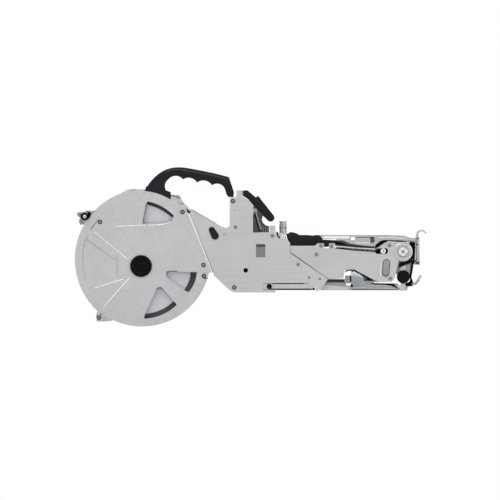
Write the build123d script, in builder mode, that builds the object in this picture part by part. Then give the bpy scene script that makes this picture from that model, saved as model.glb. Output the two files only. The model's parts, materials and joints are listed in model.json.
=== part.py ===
from build123d import *
import math
import os

os.makedirs("parts", exist_ok=True)

# Pneumatic tape feeder, millimetres. +X is the front (pick-up end), +Z is up, the open side faces -Y.
# The part's origin is the middle of the seat under the body. The side view is drawn from a zero point
# under the sprocket, and datum_x and datum_z say where that point lies in the part's frame.
datum_x = 221.25
datum_z = 3.0

# Body thickness and sheets
half_width = 9.0
sheet = 1.2
gap = 0.3
inner = half_width - sheet
screw_r = 2.4
screw_head = 0.9
pin_clear = 0.06

# Reel case
case_x = -390.0
case_z = 49.0
case_r = 103.0
hub_x = -391.5
hub_z = 36.75
window_corner = 1.8
crease_wide = 2.0
crease_high = 0.5
crease_taper = 50.0
door_x = case_x + 4.8
door_z = case_z - 2.4
door_r = 104.5
knob_r = 16.5
knob_depth = 5.0
shaft_r = 3.0
sleeve_r = 6.4
door_start = 154.0
door_end = 218.0
door_flange = 9.9
door_skin = 0.8
flat_start = 107.0
flat_end = 228.0
door_pin_x = -454.5
door_pin_z = -40.5
roller_x = -476.0
roller_z = 111.0
roller_r = 6.0

# Main body
joint_top = (-321.0, 122.5)
joint_foot = (-282.5, 24.0)
seat_z = -3.0
top_z = 140.2
lever_x = -235.5
lever_z = 146.0
lever_pin_r = 2.0
button_x = -285.3
button_z = 90.9
post_x = -178.5

# Front
sprocket_x = 1.5
sprocket_z = 58.05
tooth_count = 24
tape_pitch = 4.0
pitch_r = tooth_count * tape_pitch / (2 * math.pi)
boss_r = 14.25
hub_r = 7.2
sprocket_shaft_r = 2.5
wheel_x = 2.0
wheel_z = 20.5
wheel_r = 9.9
wheel_pin_r = 1.5
cylinder_z = 6.0
cylinder_r = 4.7
rod_r = 2.2
clevis_pin_z = 4.5
latch_pin_x = 23.4
latch_pin_z = 41.25
bar_z = 6.1
bar_half = 4.4
bar_roller_x = -199.0
bar_roller_r = 3.9


def side(y):
    """Upright plane at depth y; extruding from it goes towards the open side."""
    return Plane(origin=(datum_x, y, datum_z), x_dir=(1, 0, 0), z_dir=(0, -1, 0))


def lengthwise(x, y, z):
    """Plane across the length at a drawing point; extruding goes towards the front."""
    return Plane(origin=(x + datum_x, y, z + datum_z), x_dir=(0, 1, 0), z_dir=(1, 0, 0))


def upward(x, y, z):
    """Level plane at a drawing point; extruding goes up."""
    return Plane(origin=(x + datum_x, y, z + datum_z), x_dir=(1, 0, 0), z_dir=(0, 0, 1))


def save(part, name):
    part.label = name
    export_step(part, "parts/" + name + ".step")


def polar(x, z, radius, angle):
    return (x + radius * math.cos(math.radians(angle)), z + radius * math.sin(math.radians(angle)))


def outline(points, radius=0.0, mode=Mode.ADD):
    """Closed profile through the points, with one corner radius."""
    with BuildLine() as edge:
        if radius:
            FilletPolyline(*points, radius=radius, close=True)
        else:
            Polyline(*points, close=True)
    make_face(edge.line, mode=mode)


def pin(x, z, radius, far_y, near_y, head_r=0.0, head=0.0):
    """Round pin between two depths, with a head on the near side where it has one."""
    with BuildSketch(side(far_y)) as shank:
        with Locations((x, z)):
            Circle(radius)
    extrude(shank.sketch, amount=far_y - near_y)
    if head_r:
        with BuildSketch(side(near_y)) as cap:
            with Locations((x, z)):
                Circle(head_r)
        extrude(cap.sketch, amount=head)


def ring_sector(x, z, inner_r, outer_r, start, end, mode=Mode.ADD):
    """Flat piece of a ring between two angles in degrees."""
    with BuildLine() as edge:
        outer = CenterArc((x, z), outer_r, start, end - start)
        inner_arc = CenterArc((x, z), inner_r, start, end - start)
        Line(outer @ 0, inner_arc @ 0)
        Line(outer @ 1, inner_arc @ 1)
    make_face(edge.line, mode=mode)


def window(start, middle, end, *corners):
    """Opening with one curved side and rounded corners, cut from the sheet."""
    with BuildLine() as edge:
        ThreePointArc(start, middle, end)
        Polyline(end, *corners, start)
    rounded = edge.wire().fillet_2d(window_corner, edge.wire().vertices())
    make_face(rounded.edges(), mode=Mode.SUBTRACT)


def crease(start, end):
    """Pressed stiffening ridge between two points on the cover."""
    run = Vector(end[0] - start[0], end[1] - start[1])
    with BuildSketch(side(-half_width)) as ridge:
        with Locations(((start[0] + end[0]) / 2, (start[1] + end[1]) / 2)):
            SlotOverall(run.length, crease_wide, rotation=math.degrees(math.atan2(run.Y, run.X)))
    extrude(ridge.sketch, amount=crease_high, taper=crease_taper)


def door_side():
    """The case is a little smaller where the door and the leader run round it."""
    ring_sector(door_x, door_z, door_r, door_r + 9.0, door_start, flat_end, Mode.SUBTRACT)
    ring_sector(door_x, door_z, door_r + gap + door_skin, door_r + 9.0, flat_start, door_start + 1.0,
                Mode.SUBTRACT)


# Everything in front of the slanted joint between the reel case and the main plates
def beyond_joint(mode):
    outline([joint_top, joint_foot, (joint_foot[0] + 60, joint_foot[1]),
             (joint_foot[0] + 60, joint_top[1] + 20),
             (joint_top[0], joint_top[1] + 20)], mode=mode)


# Near cover of the reel case
with BuildPart() as reel_cover:
    with BuildSketch(side(-inner)):
        with Locations((case_x, case_z)):
            Circle(case_r)
        window((-382.5, 133.8), (-363.0, 127.5), (-342.0, 111.8), (-346.5, 101.0), (-390.0, 100.0))
        window((-307.5, 29.0), (-310.5, 13.5), (-320.3, -2.7), (-325.8, 0.0), (-354.0, 20.3), (-353.5, 29.0))
        window((-387.8, -42.3), (-363.0, -37.5), (-337.5, -21.0), (-342.8, -15.8), (-360.8, 5.3),
               (-366.8, 4.5), (-383.0, -29.0))
        door_side()
        beyond_joint(Mode.SUBTRACT)
        with Locations((hub_x, hub_z)):
            Circle(sleeve_r + gap, mode=Mode.SUBTRACT)
    extrude(amount=sheet)
    crease((-464.0, 90.0), (-410.0, 44.5))
    crease((-468.0, 4.0), (-424.0, 16.5))
    crease((-449.5, -25.5), (-411.0, 16.5))
    crease((-432.0, 96.0), (-392.0, 97.6))
    crease((-474.0, 76.0), (-431.0, 47.0))
    crease((-428.0, 54.0), (-426.5, 19.5))
save(reel_cover.part, "reel_cover")

# Far disc, which carries the spindle bush
with BuildPart() as reel_back:
    with BuildSketch(side(half_width)):
        with Locations((case_x, case_z)):
            Circle(case_r)
        door_side()
        beyond_joint(Mode.SUBTRACT)
        with Locations((hub_x, hub_z)):
            Circle(shaft_r + pin_clear, mode=Mode.SUBTRACT)
    extrude(amount=sheet)
save(reel_back.part, "reel_back")

# Rim wall between the discs, open at the door and where the tape leaves
with BuildPart() as reel_rim:
    with BuildSketch(side(inner)):
        ring_sector(case_x, case_z, case_r - sheet, case_r, 42.0, flat_start)
        ring_sector(case_x, case_z, case_r - 4.0, case_r, flat_start - 0.8, flat_start)
        flat_r = door_r + gap + door_skin
        ring_sector(door_x, door_z, flat_r - sheet, flat_r, flat_start - 1.0, door_start - 2.0)
        ring_sector(case_x, case_z, case_r - sheet, case_r, flat_end, 330.0)
    extrude(amount=2 * inner)
save(reel_rim.part, "reel_rim")

# Plastic strips on the far disc that the reel flange runs against, seen through the windows
strip_top = ThreePointArc((-379.5, 130.9), (-363.0, 124.9), (-345.0, 113.2))
strip_front = ThreePointArc((-312.8, 27.5), (-315.0, 14.2), (-321.8, 0.8))
strip_low = ThreePointArc((-384.8, -38.7), (-363.0, -33.8), (-340.5, -19.5))
with BuildPart() as wear_strips:
    with BuildSketch(side(inner)):
        SlotArc(strip_top, 5.7)
        SlotArc(strip_front, 9.0)
        SlotArc(strip_low, 7.8)
    extrude(amount=1.0)
save(wear_strips.part, "wear_strips")

# Hinged rim door, a channel that wraps both discs
with BuildPart() as rim_door:
    with BuildSketch(side(half_width + gap + door_skin)):
        ring_sector(door_x, door_z, door_r - door_flange, door_r + gap + door_skin, door_start, door_end)
    extrude(amount=2 * (half_width + gap + door_skin))
    with BuildSketch(side(half_width + gap)):
        ring_sector(door_x, door_z, door_r - door_flange - 1, door_r + gap, door_start - 4, door_end + 4)
    extrude(amount=2 * (half_width + gap), mode=Mode.SUBTRACT)
    with BuildSketch(side(-half_width - gap)):
        outline([(door_pin_x - 4.5, door_pin_z + 2), (door_pin_x - 3.0, door_pin_z - 5.5),
                 (door_pin_x + 4.5, door_pin_z - 5.0), (door_pin_x + 8.0, door_pin_z + 8.0),
                 polar(case_x, case_z, case_r - 6, door_end - 1),
                 polar(case_x, case_z, case_r - 1, door_end - 4),
                 polar(case_x, case_z, case_r + 0.6, door_end + 6)], 1.0)
        with Locations((door_pin_x, door_pin_z)):
            Circle(1.5 + pin_clear, mode=Mode.SUBTRACT)
    extrude(amount=door_skin)
save(rim_door.part, "rim_door")

# Tab and pin that the door turns on
with BuildPart() as door_tab:
    with BuildSketch(side(half_width)):
        outline([(door_pin_x - 4.5, door_pin_z + 4), (door_pin_x - 3.5, door_pin_z - 6.0),
                 (door_pin_x + 9, door_pin_z - 6.0), polar(case_x, case_z, case_r + 0.06, 246),
                 polar(case_x, case_z, case_r + 0.06, 238), polar(case_x, case_z, case_r + 0.06, 230)], 0.8)
        with Locations((door_pin_x, door_pin_z)):
            Circle(1.5, mode=Mode.SUBTRACT)
        with Locations((case_x, case_z)):
            Circle(case_r + 0.06, mode=Mode.SUBTRACT)
    extrude(amount=2 * half_width)
save(door_tab.part, "door_tab")


# Bracket, pin and roller that guide the empty tape and hold the door shut
with BuildPart() as roller_bracket:
    with BuildSketch(side(-half_width)):
        outline([(roller_x - 8, roller_z + 2.5), (roller_x - 7, roller_z + 6), (roller_x + 8, roller_z + 9),
                 (roller_x + 15.5, roller_z + 7.5), (roller_x + 20.5, roller_z - 3),
                 (roller_x + 10.5, roller_z - 16), (roller_x + 0.5, roller_z - 11),
                 (roller_x - 5, roller_z - 10), (roller_x - 7, roller_z - 6)], 1.0)
        with Locations((roller_x, roller_z)):
            Circle(1.5, mode=Mode.SUBTRACT)
    extrude(amount=sheet)
save(roller_bracket.part, "roller_bracket")


with BuildPart() as rear_roller:
    with BuildSketch(side(-half_width - sheet - 0.3)):
        with Locations((roller_x, roller_z)):
            Circle(roller_r)
            Circle(1.5 + pin_clear, mode=Mode.SUBTRACT)
    extrude(amount=7.4)
    chamfer(rear_roller.edges().filter_by(GeomType.CIRCLE).group_by(SortBy.RADIUS)[-1], 0.6)
save(rear_roller.part, "rear_roller")

# Pull-out spindle with its knob, and the sleeve that turns with the reel
sleeve_len = 2 * inner - 1.6
with BuildPart() as reel_spindle:
    with BuildSketch(side(half_width)):
        with Locations((hub_x, hub_z)):
            Circle(shaft_r)
    extrude(amount=2 * half_width + 2.0)
save(reel_spindle.part, "reel_spindle")

with BuildPart() as reel_knob:
    with BuildSketch(side(-half_width - gap)):
        with Locations((hub_x, hub_z)):
            Circle(knob_r)
            Circle(shaft_r, mode=Mode.SUBTRACT)
    extrude(amount=1.7)
    with BuildSketch(side(-half_width - gap - 1.7)):
        with Locations((hub_x, hub_z)):
            Circle(knob_r)
    extrude(amount=knob_depth - 1.7)
    fillet(reel_knob.faces().sort_by(Axis.Y)[0].edges(), 2.0)
    with BuildSketch(side(-half_width - gap - knob_depth)):
        with Locations((hub_x, hub_z)):
            Circle(9.0)
    extrude(amount=-0.8, mode=Mode.SUBTRACT)
save(reel_knob.part, "reel_knob")

with BuildPart() as reel_sleeve:
    with BuildSketch(side(inner - 0.8)):
        with Locations((hub_x, hub_z)):
            Circle(sleeve_r)
            Circle(shaft_r + pin_clear, mode=Mode.SUBTRACT)
    extrude(amount=sleeve_len)
save(reel_sleeve.part, "reel_sleeve")

# Main side plates, one outline for both sides
plate_edge = [
    joint_top, (-315.0, 122.2), (-282.0, 102.75), (-270.0, 95.5), (-264.0, 93.75), (-258.5, 97.0),
    (-258.5, top_z), (-238.5, top_z), (-230.0, 136.0), (-223.5, 128.5), (-223.5, 87.0), (-189.0, 87.0),
    (-174.0, 78.75), (-168.0, 71.5), (-168.0, 56.25), (-111.0, 17.25), (-122.0, 0.6), (-134.0, 0.6),
    (-142.0, 11.2), (-190.0, 11.2), (-190.0, seat_z), (-252.0, seat_z), (-258.0, 0.0), (-282.0, 22.0),
    joint_foot]
window_x = -212.0
window_top = 69.5
window_low = 49.8
window_width = 14.0
dot_x = -234.5
dot_z = 30.3
dot_r = 3.4
notch_start = -208.3
bar_depth = -inner + 0.1
bar_thick = 1.6


def main_plate(far_y, near_side):
    with BuildPart() as plate:
        with BuildSketch(side(far_y)):
            outline([(x + 0.15, z) if (x, z) in (joint_top, joint_foot) else (x, z) for x, z in plate_edge])
            if near_side:
                with Locations((dot_x, dot_z)):
                    Circle(dot_r, mode=Mode.SUBTRACT)
                outline([(-198.8, 84.0), (-198.8, 97.4), (-189.8, 97.4), (-189.8, 84.0)], 1.2)
                with Locations((window_x, (window_top + window_low) / 2)):
                    Rectangle(window_width, window_top - window_low, mode=Mode.SUBTRACT)
                with Locations(((notch_start - 190.0) / 2 + 1, bar_z)):
                    Rectangle(-190.0 - notch_start + 2, 2 * bar_half + 1.2, mode=Mode.SUBTRACT)
            else:
                outline([(-191.0, 12.0), (-141.0, 12.0), (-132.0, 0.6), (-191.0, 0.6)])
        extrude(amount=sheet)
        corners = plate.edges().filter_by(Axis.Y).group_by(Axis.Z)
        fillet(corners[-1], 3.0)
    return plate.part


save(main_plate(-inner, True), "near_main_plate")
save(main_plate(half_width, False), "far_main_plate")

# Neck plates lap over the joint and clamp the reel case to the body
neck_edge = [(-338.0, 28.0), (-338.0, 108.0), (-333.0, 128.0), (-325.5, 129.5), (-321.0, 122.5),
             (-283.5, 27.0)]


def neck_plate(far_y):
    with BuildPart() as plate:
        with BuildSketch(side(far_y)):
            outline(neck_edge, 2.0)
        extrude(amount=sheet)
        chamfer(plate.faces().sort_by(Axis.Y)[0].edges(), 0.3)
    return plate.part


save(neck_plate(-half_width) + neck_plate(half_width + sheet), "neck_plates")

# Posts that hold the side plates apart
post_r = 2.6
body_posts = [(-251.5, 4.5), (-253.5, 134.0), (-249.8, 95.2), (-194.5, 82.0), (-156.0, 39.0), (-139.5, 18.8)]
front_posts = [(-128.2, 54.0), (-60.0, 46.0), (-17.7, 17.9), (-18.8, 67.8)]
with BuildPart() as spacer_posts:
    with BuildSketch(side(inner)):
        with Locations(*body_posts, *front_posts):
            Circle(post_r)
    extrude(amount=2 * inner)
save(spacer_posts.part, "spacer_posts")

# Seat bar along the bottom of the body
with BuildPart() as seat_block:
    with BuildSketch(side(inner)):
        outline([(-246.0, seat_z), (-192.0, seat_z), (-192.0, seat_z + 3.6), (-246.0, seat_z + 3.6)], 0.8)
    extrude(amount=2 * inner)
save(seat_block.part, "seat_block")

# Carrying handle with four finger grips
handle_half = 7.0
saddle_thick = 1.3
with BuildPart() as handle:
    with BuildSketch(side(handle_half)):
        with BuildLine():
            Spline(polar(case_x, case_z, case_r + 0.05, 87.0), (-370.5, 170.5), (-351.0, 182.5),
                   (-336.0, 184.9), (-312.0, 182.0),
                   (-280.0, 175.5), (-259.5, 170.2))
            Line((-259.5, 170.2), (-252.0, 147.5))
            Line((-252.0, 147.5), (-252.75, top_z + 0.05))
            Line((-252.75, top_z + 0.05), (-260.5, top_z + 0.05))
            Line((-260.5, top_z + 0.05), (-263.5, 144.5))
            Line((-263.5, 144.5), (-265.2, 150.5))
            ThreePointArc((-265.2, 150.5), (-268.5, 156.5), (-285.0, 157.7))
            ThreePointArc((-285.0, 157.7), (-296.0, 164.8), (-307.5, 161.8))
            ThreePointArc((-307.5, 161.8), (-317.5, 168.8), (-328.5, 166.5))
            ThreePointArc((-328.5, 166.5), (-341.0, 171.8), (-350.0, 167.0))
            ThreePointArc((-350.0, 167.0), (-355.6, 157.0), (-350.5, 146.5))
            Line((-350.5, 146.5), (-343.5, 142.8))
            Line((-343.5, 142.8), polar(case_x, case_z, case_r + 0.05, 62.5))
            CenterArc((case_x, case_z), case_r + 0.05, 62.5, 87.0 - 62.5)
        make_face()
    extrude(amount=2 * handle_half)
    round_over = handle.faces().filter_by(Axis.Y).edges().filter_by(GeomType.BSPLINE)
    fillet(round_over, 2.5)
    with BuildSketch(side(half_width + saddle_thick)):
        ring_sector(case_x, case_z, case_r + 0.05, case_r + 4.5, 66.0, 87.0)
    extrude(amount=2 * (half_width + saddle_thick))
    for cheek_y in (half_width + saddle_thick, -half_width - 0.05):
        with BuildSketch(side(cheek_y)) as cheek:
            with BuildLine() as cheek_edge:
                ThreePointArc((-386.5, 149.5), (-367.5, 145.8), (-347.5, 136.8))
                Line((-347.5, 136.8), polar(case_x, case_z, case_r + 1.2, 65.0))
                CenterArc((case_x, case_z), case_r + 1.2, 65.0, 22.0)
                Line(polar(case_x, case_z, case_r + 1.2, 87.0), (-386.5, 149.5))
            make_face(cheek_edge.line)
        extrude(cheek.sketch, amount=saddle_thick - 0.05)
save(handle.part, "handle")

# Foot that screws the handle to the rim
with BuildPart() as handle_foot:
    with BuildSketch(side(handle_half)):
        outline([polar(case_x, case_z, case_r + 0.05, 61.9), (-346.0, 143.0), (-334.5, 143.0),
                 (-331.5, 139.0),
                 polar(case_x, case_z, case_r + 0.05, 55.0), polar(case_x, case_z, case_r + 0.05, 58.5)])
        with Locations((case_x, case_z)):
            Circle(case_r + 0.05, mode=Mode.SUBTRACT)
        make_room = [(-352.0, 147.0), (-342.6, 143.4), polar(case_x, case_z, case_r - 1, 62.0),
                     (-352.0, 138.0)]
        outline(make_room, mode=Mode.SUBTRACT)
    extrude(amount=2 * handle_half)
save(handle_foot.part, "handle_foot")

# Clamp lever: a forked grip on a tongue that stands on the body
tongue_half = 3.0
lever_half = inner - 0.1
blind_wall = 1.2
with BuildPart() as lever_block:
    with BuildSketch(side(inner)):
        outline([(-248.5, top_z - 12), (-239.8, top_z - 12), (-239.8, 150.2), (-248.5, 150.2)], 0.8)
    extrude(amount=2 * inner)
    with BuildSketch(side(tongue_half)):
        with Locations((lever_x, lever_z)):
            Circle(3.9)
        outline([(-240.5, lever_z - 3.9), (lever_x, lever_z - 3.9), (lever_x, lever_z + 3.9),
                 (-240.5, lever_z + 3.9)])
    extrude(amount=2 * tongue_half)
    with BuildSketch(side(inner)):
        with Locations((lever_x, lever_z)):
            Circle(lever_pin_r, mode=Mode.ADD)
    extrude(amount=2 * inner, mode=Mode.SUBTRACT)
save(lever_block.part, "lever_block")


with BuildPart() as clamp_lever:
    with BuildSketch(side(lever_half)):
        outline([(-238.2, 150.2), (-231.75, 150.4), (-219.0, 139.5), (-216.0, 142.5), (-192.0, 112.0),
                 (-191.0, 107.5), (-195.0, 103.2), (-200.0, 103.8), (-210.0, 113.4), (-219.2, 122.8),
                 (-224.2, 128.9), (-230.4, 136.6), (-238.2, 141.6)], 1.2)
    extrude(amount=2 * lever_half)
    with BuildSketch(side(lever_half)):
        with Locations((lever_x, lever_z)):
            Circle(lever_pin_r + pin_clear)
    extrude(amount=2 * lever_half - blind_wall, mode=Mode.SUBTRACT)
    chamfer(clamp_lever.faces().filter_by(Axis.Y).sort_by(Axis.Y)[0].outer_wire().edges(), 0.5)
    with BuildSketch(side(tongue_half + gap)):
        with Locations((lever_x, lever_z)):
            Circle(4.6)
        outline([(-241.0, 134.0), (-231.0, 134.0), (-231.0, 151.0), (-241.0, 151.0)])
    extrude(amount=2 * (tongue_half + gap), mode=Mode.SUBTRACT)
save(clamp_lever.part, "clamp_lever")

# Dark steel bracket under the grip, with the extension spring in front of it
bracket_edge = [(-223.2, 87.1), (-199.5, 87.1), (-199.5, 96.75), (-204.0, 97.5), (-208.5, 101.5),
                (-210.6, 107.5), (-210.6, 111.8), (-217.2, 118.4), (-223.2, 124.6)]
with BuildPart() as lever_bracket:
    with BuildSketch(side(inner)):
        outline(bracket_edge, 0.8)
    extrude(amount=2 * inner)
    with BuildSketch(side(inner - sheet)):
        outline([(-224.0, 80.0), (-208.5, 80.0), (-208.5, 88.6), (-198.0, 88.6), (-198.0, 130.0),
                 (-224.0, 130.0)])
    extrude(amount=2 * (inner - sheet), mode=Mode.SUBTRACT)
save(lever_bracket.part, "lever_bracket")

spring_top = (-218.5, 116.0)
spring_foot = (-212.0, 92.0)
spring_run = Vector(spring_foot[0] - spring_top[0], 0, spring_foot[1] - spring_top[1])
spring_start = Vector(spring_top[0] + datum_x, -inner - 1.9, spring_top[1] + datum_z)
with BuildPart() as lever_spring:
    with BuildSketch(Plane(origin=spring_start, x_dir=(0, 1, 0), z_dir=spring_run)):
        Circle(1.7)
    extrude(amount=spring_run.length)
save(lever_spring.part, "lever_spring")

# Crank that carries the lever's motion down to the lock bar
crank_x = -212.0
crank_z = 60.0
crank_depth = -2.0
crank_thick = 2.0
with BuildPart() as lock_crank:
    with BuildSketch(side(crank_depth)):
        outline([(-239.5, 127.0), (-228.5, 129.5), (crank_x + 6, crank_z), (-202.5, 5.0), (-207.5, 5.0),
                 (crank_x - 6, crank_z)], 2.0)
        with Locations((crank_x, crank_z)):
            Circle(2.5 + pin_clear, mode=Mode.SUBTRACT)
    extrude(amount=crank_thick)
save(lock_crank.part, "lock_crank")


# Lock bar, its roller, and the rail that carries the front hook
with BuildPart() as lock_bar:
    with BuildSketch(side(bar_depth + bar_thick)):
        outline([(-209.0, bar_z - bar_half), (-124.0, bar_z - bar_half), (-122.5, bar_z - 1),
                 (-128.0, bar_z + bar_half),
                 (-209.0, bar_z + bar_half)], 0.8)
    extrude(amount=bar_thick)
    with BuildSketch(side(bar_depth + bar_thick)):
        with Locations((bar_roller_x, bar_z)):
            Circle(1.4)
    extrude(amount=4.6)
save(lock_bar.part, "lock_bar")


with BuildPart() as bar_roller:
    with BuildSketch(side(bar_depth - 0.1)):
        with Locations((bar_roller_x, bar_z)):
            Circle(bar_roller_r)
            Circle(1.4 + pin_clear, mode=Mode.SUBTRACT)
    extrude(amount=2.4)
save(bar_roller.part, "bar_roller")

rail_depth = 6.4
rail_thick = 1.6
with BuildPart() as lock_rail:
    with BuildSketch(side(rail_depth)):
        outline([(-131.0, 0.4), (8.0, 0.4), (8.0, 6.4), (-131.0, 6.4)], 0.6)
    extrude(amount=rail_thick)
    with BuildSketch(side(rail_depth - rail_thick)):
        with Locations((-127.0, 3.4)):
            Circle(2.6)
    extrude(amount=rail_depth - rail_thick - bar_depth - bar_thick)
save(lock_rail.part, "lock_rail")

hook_bend = FilletPolyline((2.0, 3.4), (13.0, 8.6), (21.5, 11.0), (28.0, 21.5), radius=3.0)
with BuildPart() as front_hook:
    with BuildSketch(side(rail_depth - rail_thick)):
        SlotArc(hook_bend, 3.4)
    extrude(amount=4.0)
save(front_hook.part, "front_hook")

# Turn button that locks the neck cover
with BuildPart() as turn_button:
    with BuildSketch(side(-half_width - 0.1)):
        with Locations((button_x, button_z)):
            Circle(4.5)
        with Locations((button_x + 4.8, button_z - 8.9)):
            Circle(5.6)
        make_hull()
    extrude(amount=3.0)
    chamfer(turn_button.faces().sort_by(Axis.Y)[0].outer_wire().edges(), 0.8)
    with BuildSketch(side(-half_width - 0.1)):
        with Locations((button_x + 4.8, button_z - 8.9)):
            Circle(1.5 + pin_clear)
    extrude(amount=2.2, mode=Mode.SUBTRACT)
save(turn_button.part, "turn_button")


# Block and knurled screw that set the peel tension
post_low = 86.4
with BuildPart() as post_block:
    with BuildSketch(side(inner)):
        outline([(post_x - 8.0, 70.0), (post_x + 5.2, 70.0), (post_x + 5.2, 79.0), (post_x + 3.0, post_low),
                 (post_x - 8.0, post_low)])
    extrude(amount=2 * inner)
    with Locations(upward(post_x, 0, post_low)):
        Hole(2.0 + pin_clear, 12.0)
save(post_block.part, "post_block")

with BuildPart() as thumb_screw:
    with BuildSketch(upward(post_x, 0, post_low + 0.1)):
        Circle(5.5)
        with PolarLocations(5.5, 30):
            Circle(0.25, mode=Mode.SUBTRACT)
    extrude(amount=14.0)
    with BuildSketch(upward(post_x, 0, post_low + 14.1)):
        Circle(4.6)
    extrude(amount=2.2)
    with BuildSketch(upward(post_x, 0, post_low + 16.3)):
        Circle(5.9)
    extrude(amount=1.2)
    with BuildSketch(upward(post_x, 0, post_low - 11.0)):
        Circle(2.0)
    extrude(amount=11.2)
save(thumb_screw.part, "thumb_screw")

# Front side plates: the near one shows the bearing boss, the far one also carries the latch
front_edge = [(-168.0, 66.7), (-126.0, 66.7), (-117.0, 63.7), (-100.5, 63.0), (-75.0, 60.0), (-41.0, 57.2),
              (-38.5, 62.5), (-21.0, 74.2), (-9.0, 73.2), (sprocket_x, sprocket_z + 14.4), (-5.0, 44.5),
              (-9.0, 27.8), (-10.5, 18.8), (-15.0, 12.8), (-33.0, 12.8), (-40.5, 15.0), (-67.5, 29.2),
              (-86.2, 30.8), (-87.8, 18.0), (-111.0, 17.25), (-168.0, 56.25)]
front_seam = [(-168.0, 66.7), (-168.0, 56.25), (-111.0, 17.25)]
far_ear = [(-12.0, 30.0), (-4.0, 46.0), (10.0, 46.0), (20.0, 46.0), (27.0, 45.0), (27.0, 38.6), (20.0, 38.6),
           (12.5, 41.0), (11.5, 24.0), (-8.0, 24.0)]
far_top = [(-99.0, 61.0), (-99.0, 74.5), (-40.5, 76.0), (4.0, 78.0), (8.0, 70.0), (-20.0, 65.0),
           (-40.5, 56.0)]
far_foot = [(-76.0, 31.0), (-76.0, 12.8), (-33.0, 12.8), (-40.0, 20.0), (-60.0, 31.0)]
tab_rear = [(-127.5, 64.0), (-127.5, 70.8), (-117.0, 70.8), (-117.0, 62.0)]
tab_front = [(-109.5, 62.0), (-109.5, 70.8), (-100.5, 70.8), (-100.5, 61.5)]
idler_x = -28.2
idler_z = 59.0


def front_plate(far_y, near_side):
    seam = 0.45 if near_side else 0.0
    with BuildPart() as plate:
        with BuildSketch(side(far_y)):
            outline([(x + seam, z + seam) if (x, z) in front_seam else (x, z) for x, z in front_edge])
            with Locations((sprocket_x, sprocket_z)):
                Circle(boss_r + 0.25)
            if near_side:
                outline(tab_rear, 1.2)
                outline(tab_front, 1.2)
                with Locations((-30.8, 58.9)):
                    SlotOverall(19.5, 8.4, mode=Mode.SUBTRACT)
            else:
                outline(far_ear)
                outline(far_top)
                outline(far_foot)
                with Locations((latch_pin_x, latch_pin_z)):
                    Circle(1.3, mode=Mode.SUBTRACT)
            with Locations((sprocket_x, sprocket_z)):
                Circle(sprocket_shaft_r + pin_clear, mode=Mode.SUBTRACT)
        extrude(amount=sheet)
    return plate.part


save(front_plate(-inner, True), "near_front_plate")
save(front_plate(half_width, False), "far_front_plate")


# Sprocket: one pin for each feed hole of the tape
sprocket_depth = -0.4
sprocket_wide = 1.2
with BuildPart() as sprocket:
    with BuildSketch(side(sprocket_depth)):
        with Locations((sprocket_x, sprocket_z)):
            Circle(pitch_r - 0.25)
            with PolarLocations(pitch_r - 0.3, tooth_count, rotate=True):
                with Locations((0.45, 0)):
                    Trapezoid(1.5, 1.2, 76, rotation=-90)
            with PolarLocations(9.6, 5):
                Circle(2.1, mode=Mode.SUBTRACT)
            Circle(sprocket_shaft_r, mode=Mode.SUBTRACT)
    extrude(amount=sprocket_wide)
    with BuildSketch(side(3.0)):
        with Locations((sprocket_x, sprocket_z)):
            Circle(5.5)
            Circle(sprocket_shaft_r, mode=Mode.SUBTRACT)
    extrude(amount=3.0 - sprocket_depth)
save(sprocket.part, "sprocket")

# Ratchet wheel beside the drive lever
ratchet_r = 11.0
ratchet_low = 9.6
ratchet_depth = -4.7
ratchet_wide = 1.6
step = 360.0 / tooth_count
with BuildPart() as ratchet_wheel:
    with BuildSketch(side(ratchet_depth)):
        points = []
        for tooth in range(tooth_count):
            points.append(polar(sprocket_x, sprocket_z, ratchet_r, tooth * step))
            points.append(polar(sprocket_x, sprocket_z, ratchet_low, tooth * step + 1.5))
        outline(points)
        with Locations((sprocket_x, sprocket_z)):
            Circle(sprocket_shaft_r, mode=Mode.SUBTRACT)
    extrude(amount=ratchet_wide)
save(ratchet_wheel.part, "ratchet_wheel")

with BuildPart() as sprocket_shaft:
    with BuildSketch(side(half_width + 0.6)):
        with Locations((sprocket_x, sprocket_z)):
            Circle(sprocket_shaft_r)
    extrude(amount=2 * half_width + 0.6 + 2.2)
    with BuildSketch(side(-half_width - 2.2)):
        with Locations((sprocket_x, sprocket_z)):
            Circle(hub_r)
    extrude(amount=1.6)
    fillet(sprocket_shaft.faces().sort_by(Axis.Y)[0].edges(), 0.7)
    with BuildSketch(side(-half_width - 3.8)):
        with Locations((sprocket_x, sprocket_z)):
            Circle(1.6)
    extrude(amount=-0.8, mode=Mode.SUBTRACT)
save(sprocket_shaft.part, "sprocket_shaft")

with BuildPart() as bearing_boss:
    with BuildSketch(side(-half_width)):
        with Locations((sprocket_x, sprocket_z)):
            Circle(boss_r)
            Circle(sprocket_shaft_r + pin_clear, mode=Mode.SUBTRACT)
    extrude(amount=1.8)
    chamfer(bearing_boss.faces().sort_by(Axis.Y)[0].outer_wire().edges(), 0.7)
    with BuildSketch(side(-half_width - 1.8)):
        with Locations((sprocket_x, sprocket_z)):
            Circle(hub_r + 2.4)
            Circle(hub_r + 0.6, mode=Mode.SUBTRACT)
    extrude(amount=-0.6, mode=Mode.SUBTRACT)
save(bearing_boss.part, "bearing_boss")


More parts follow.
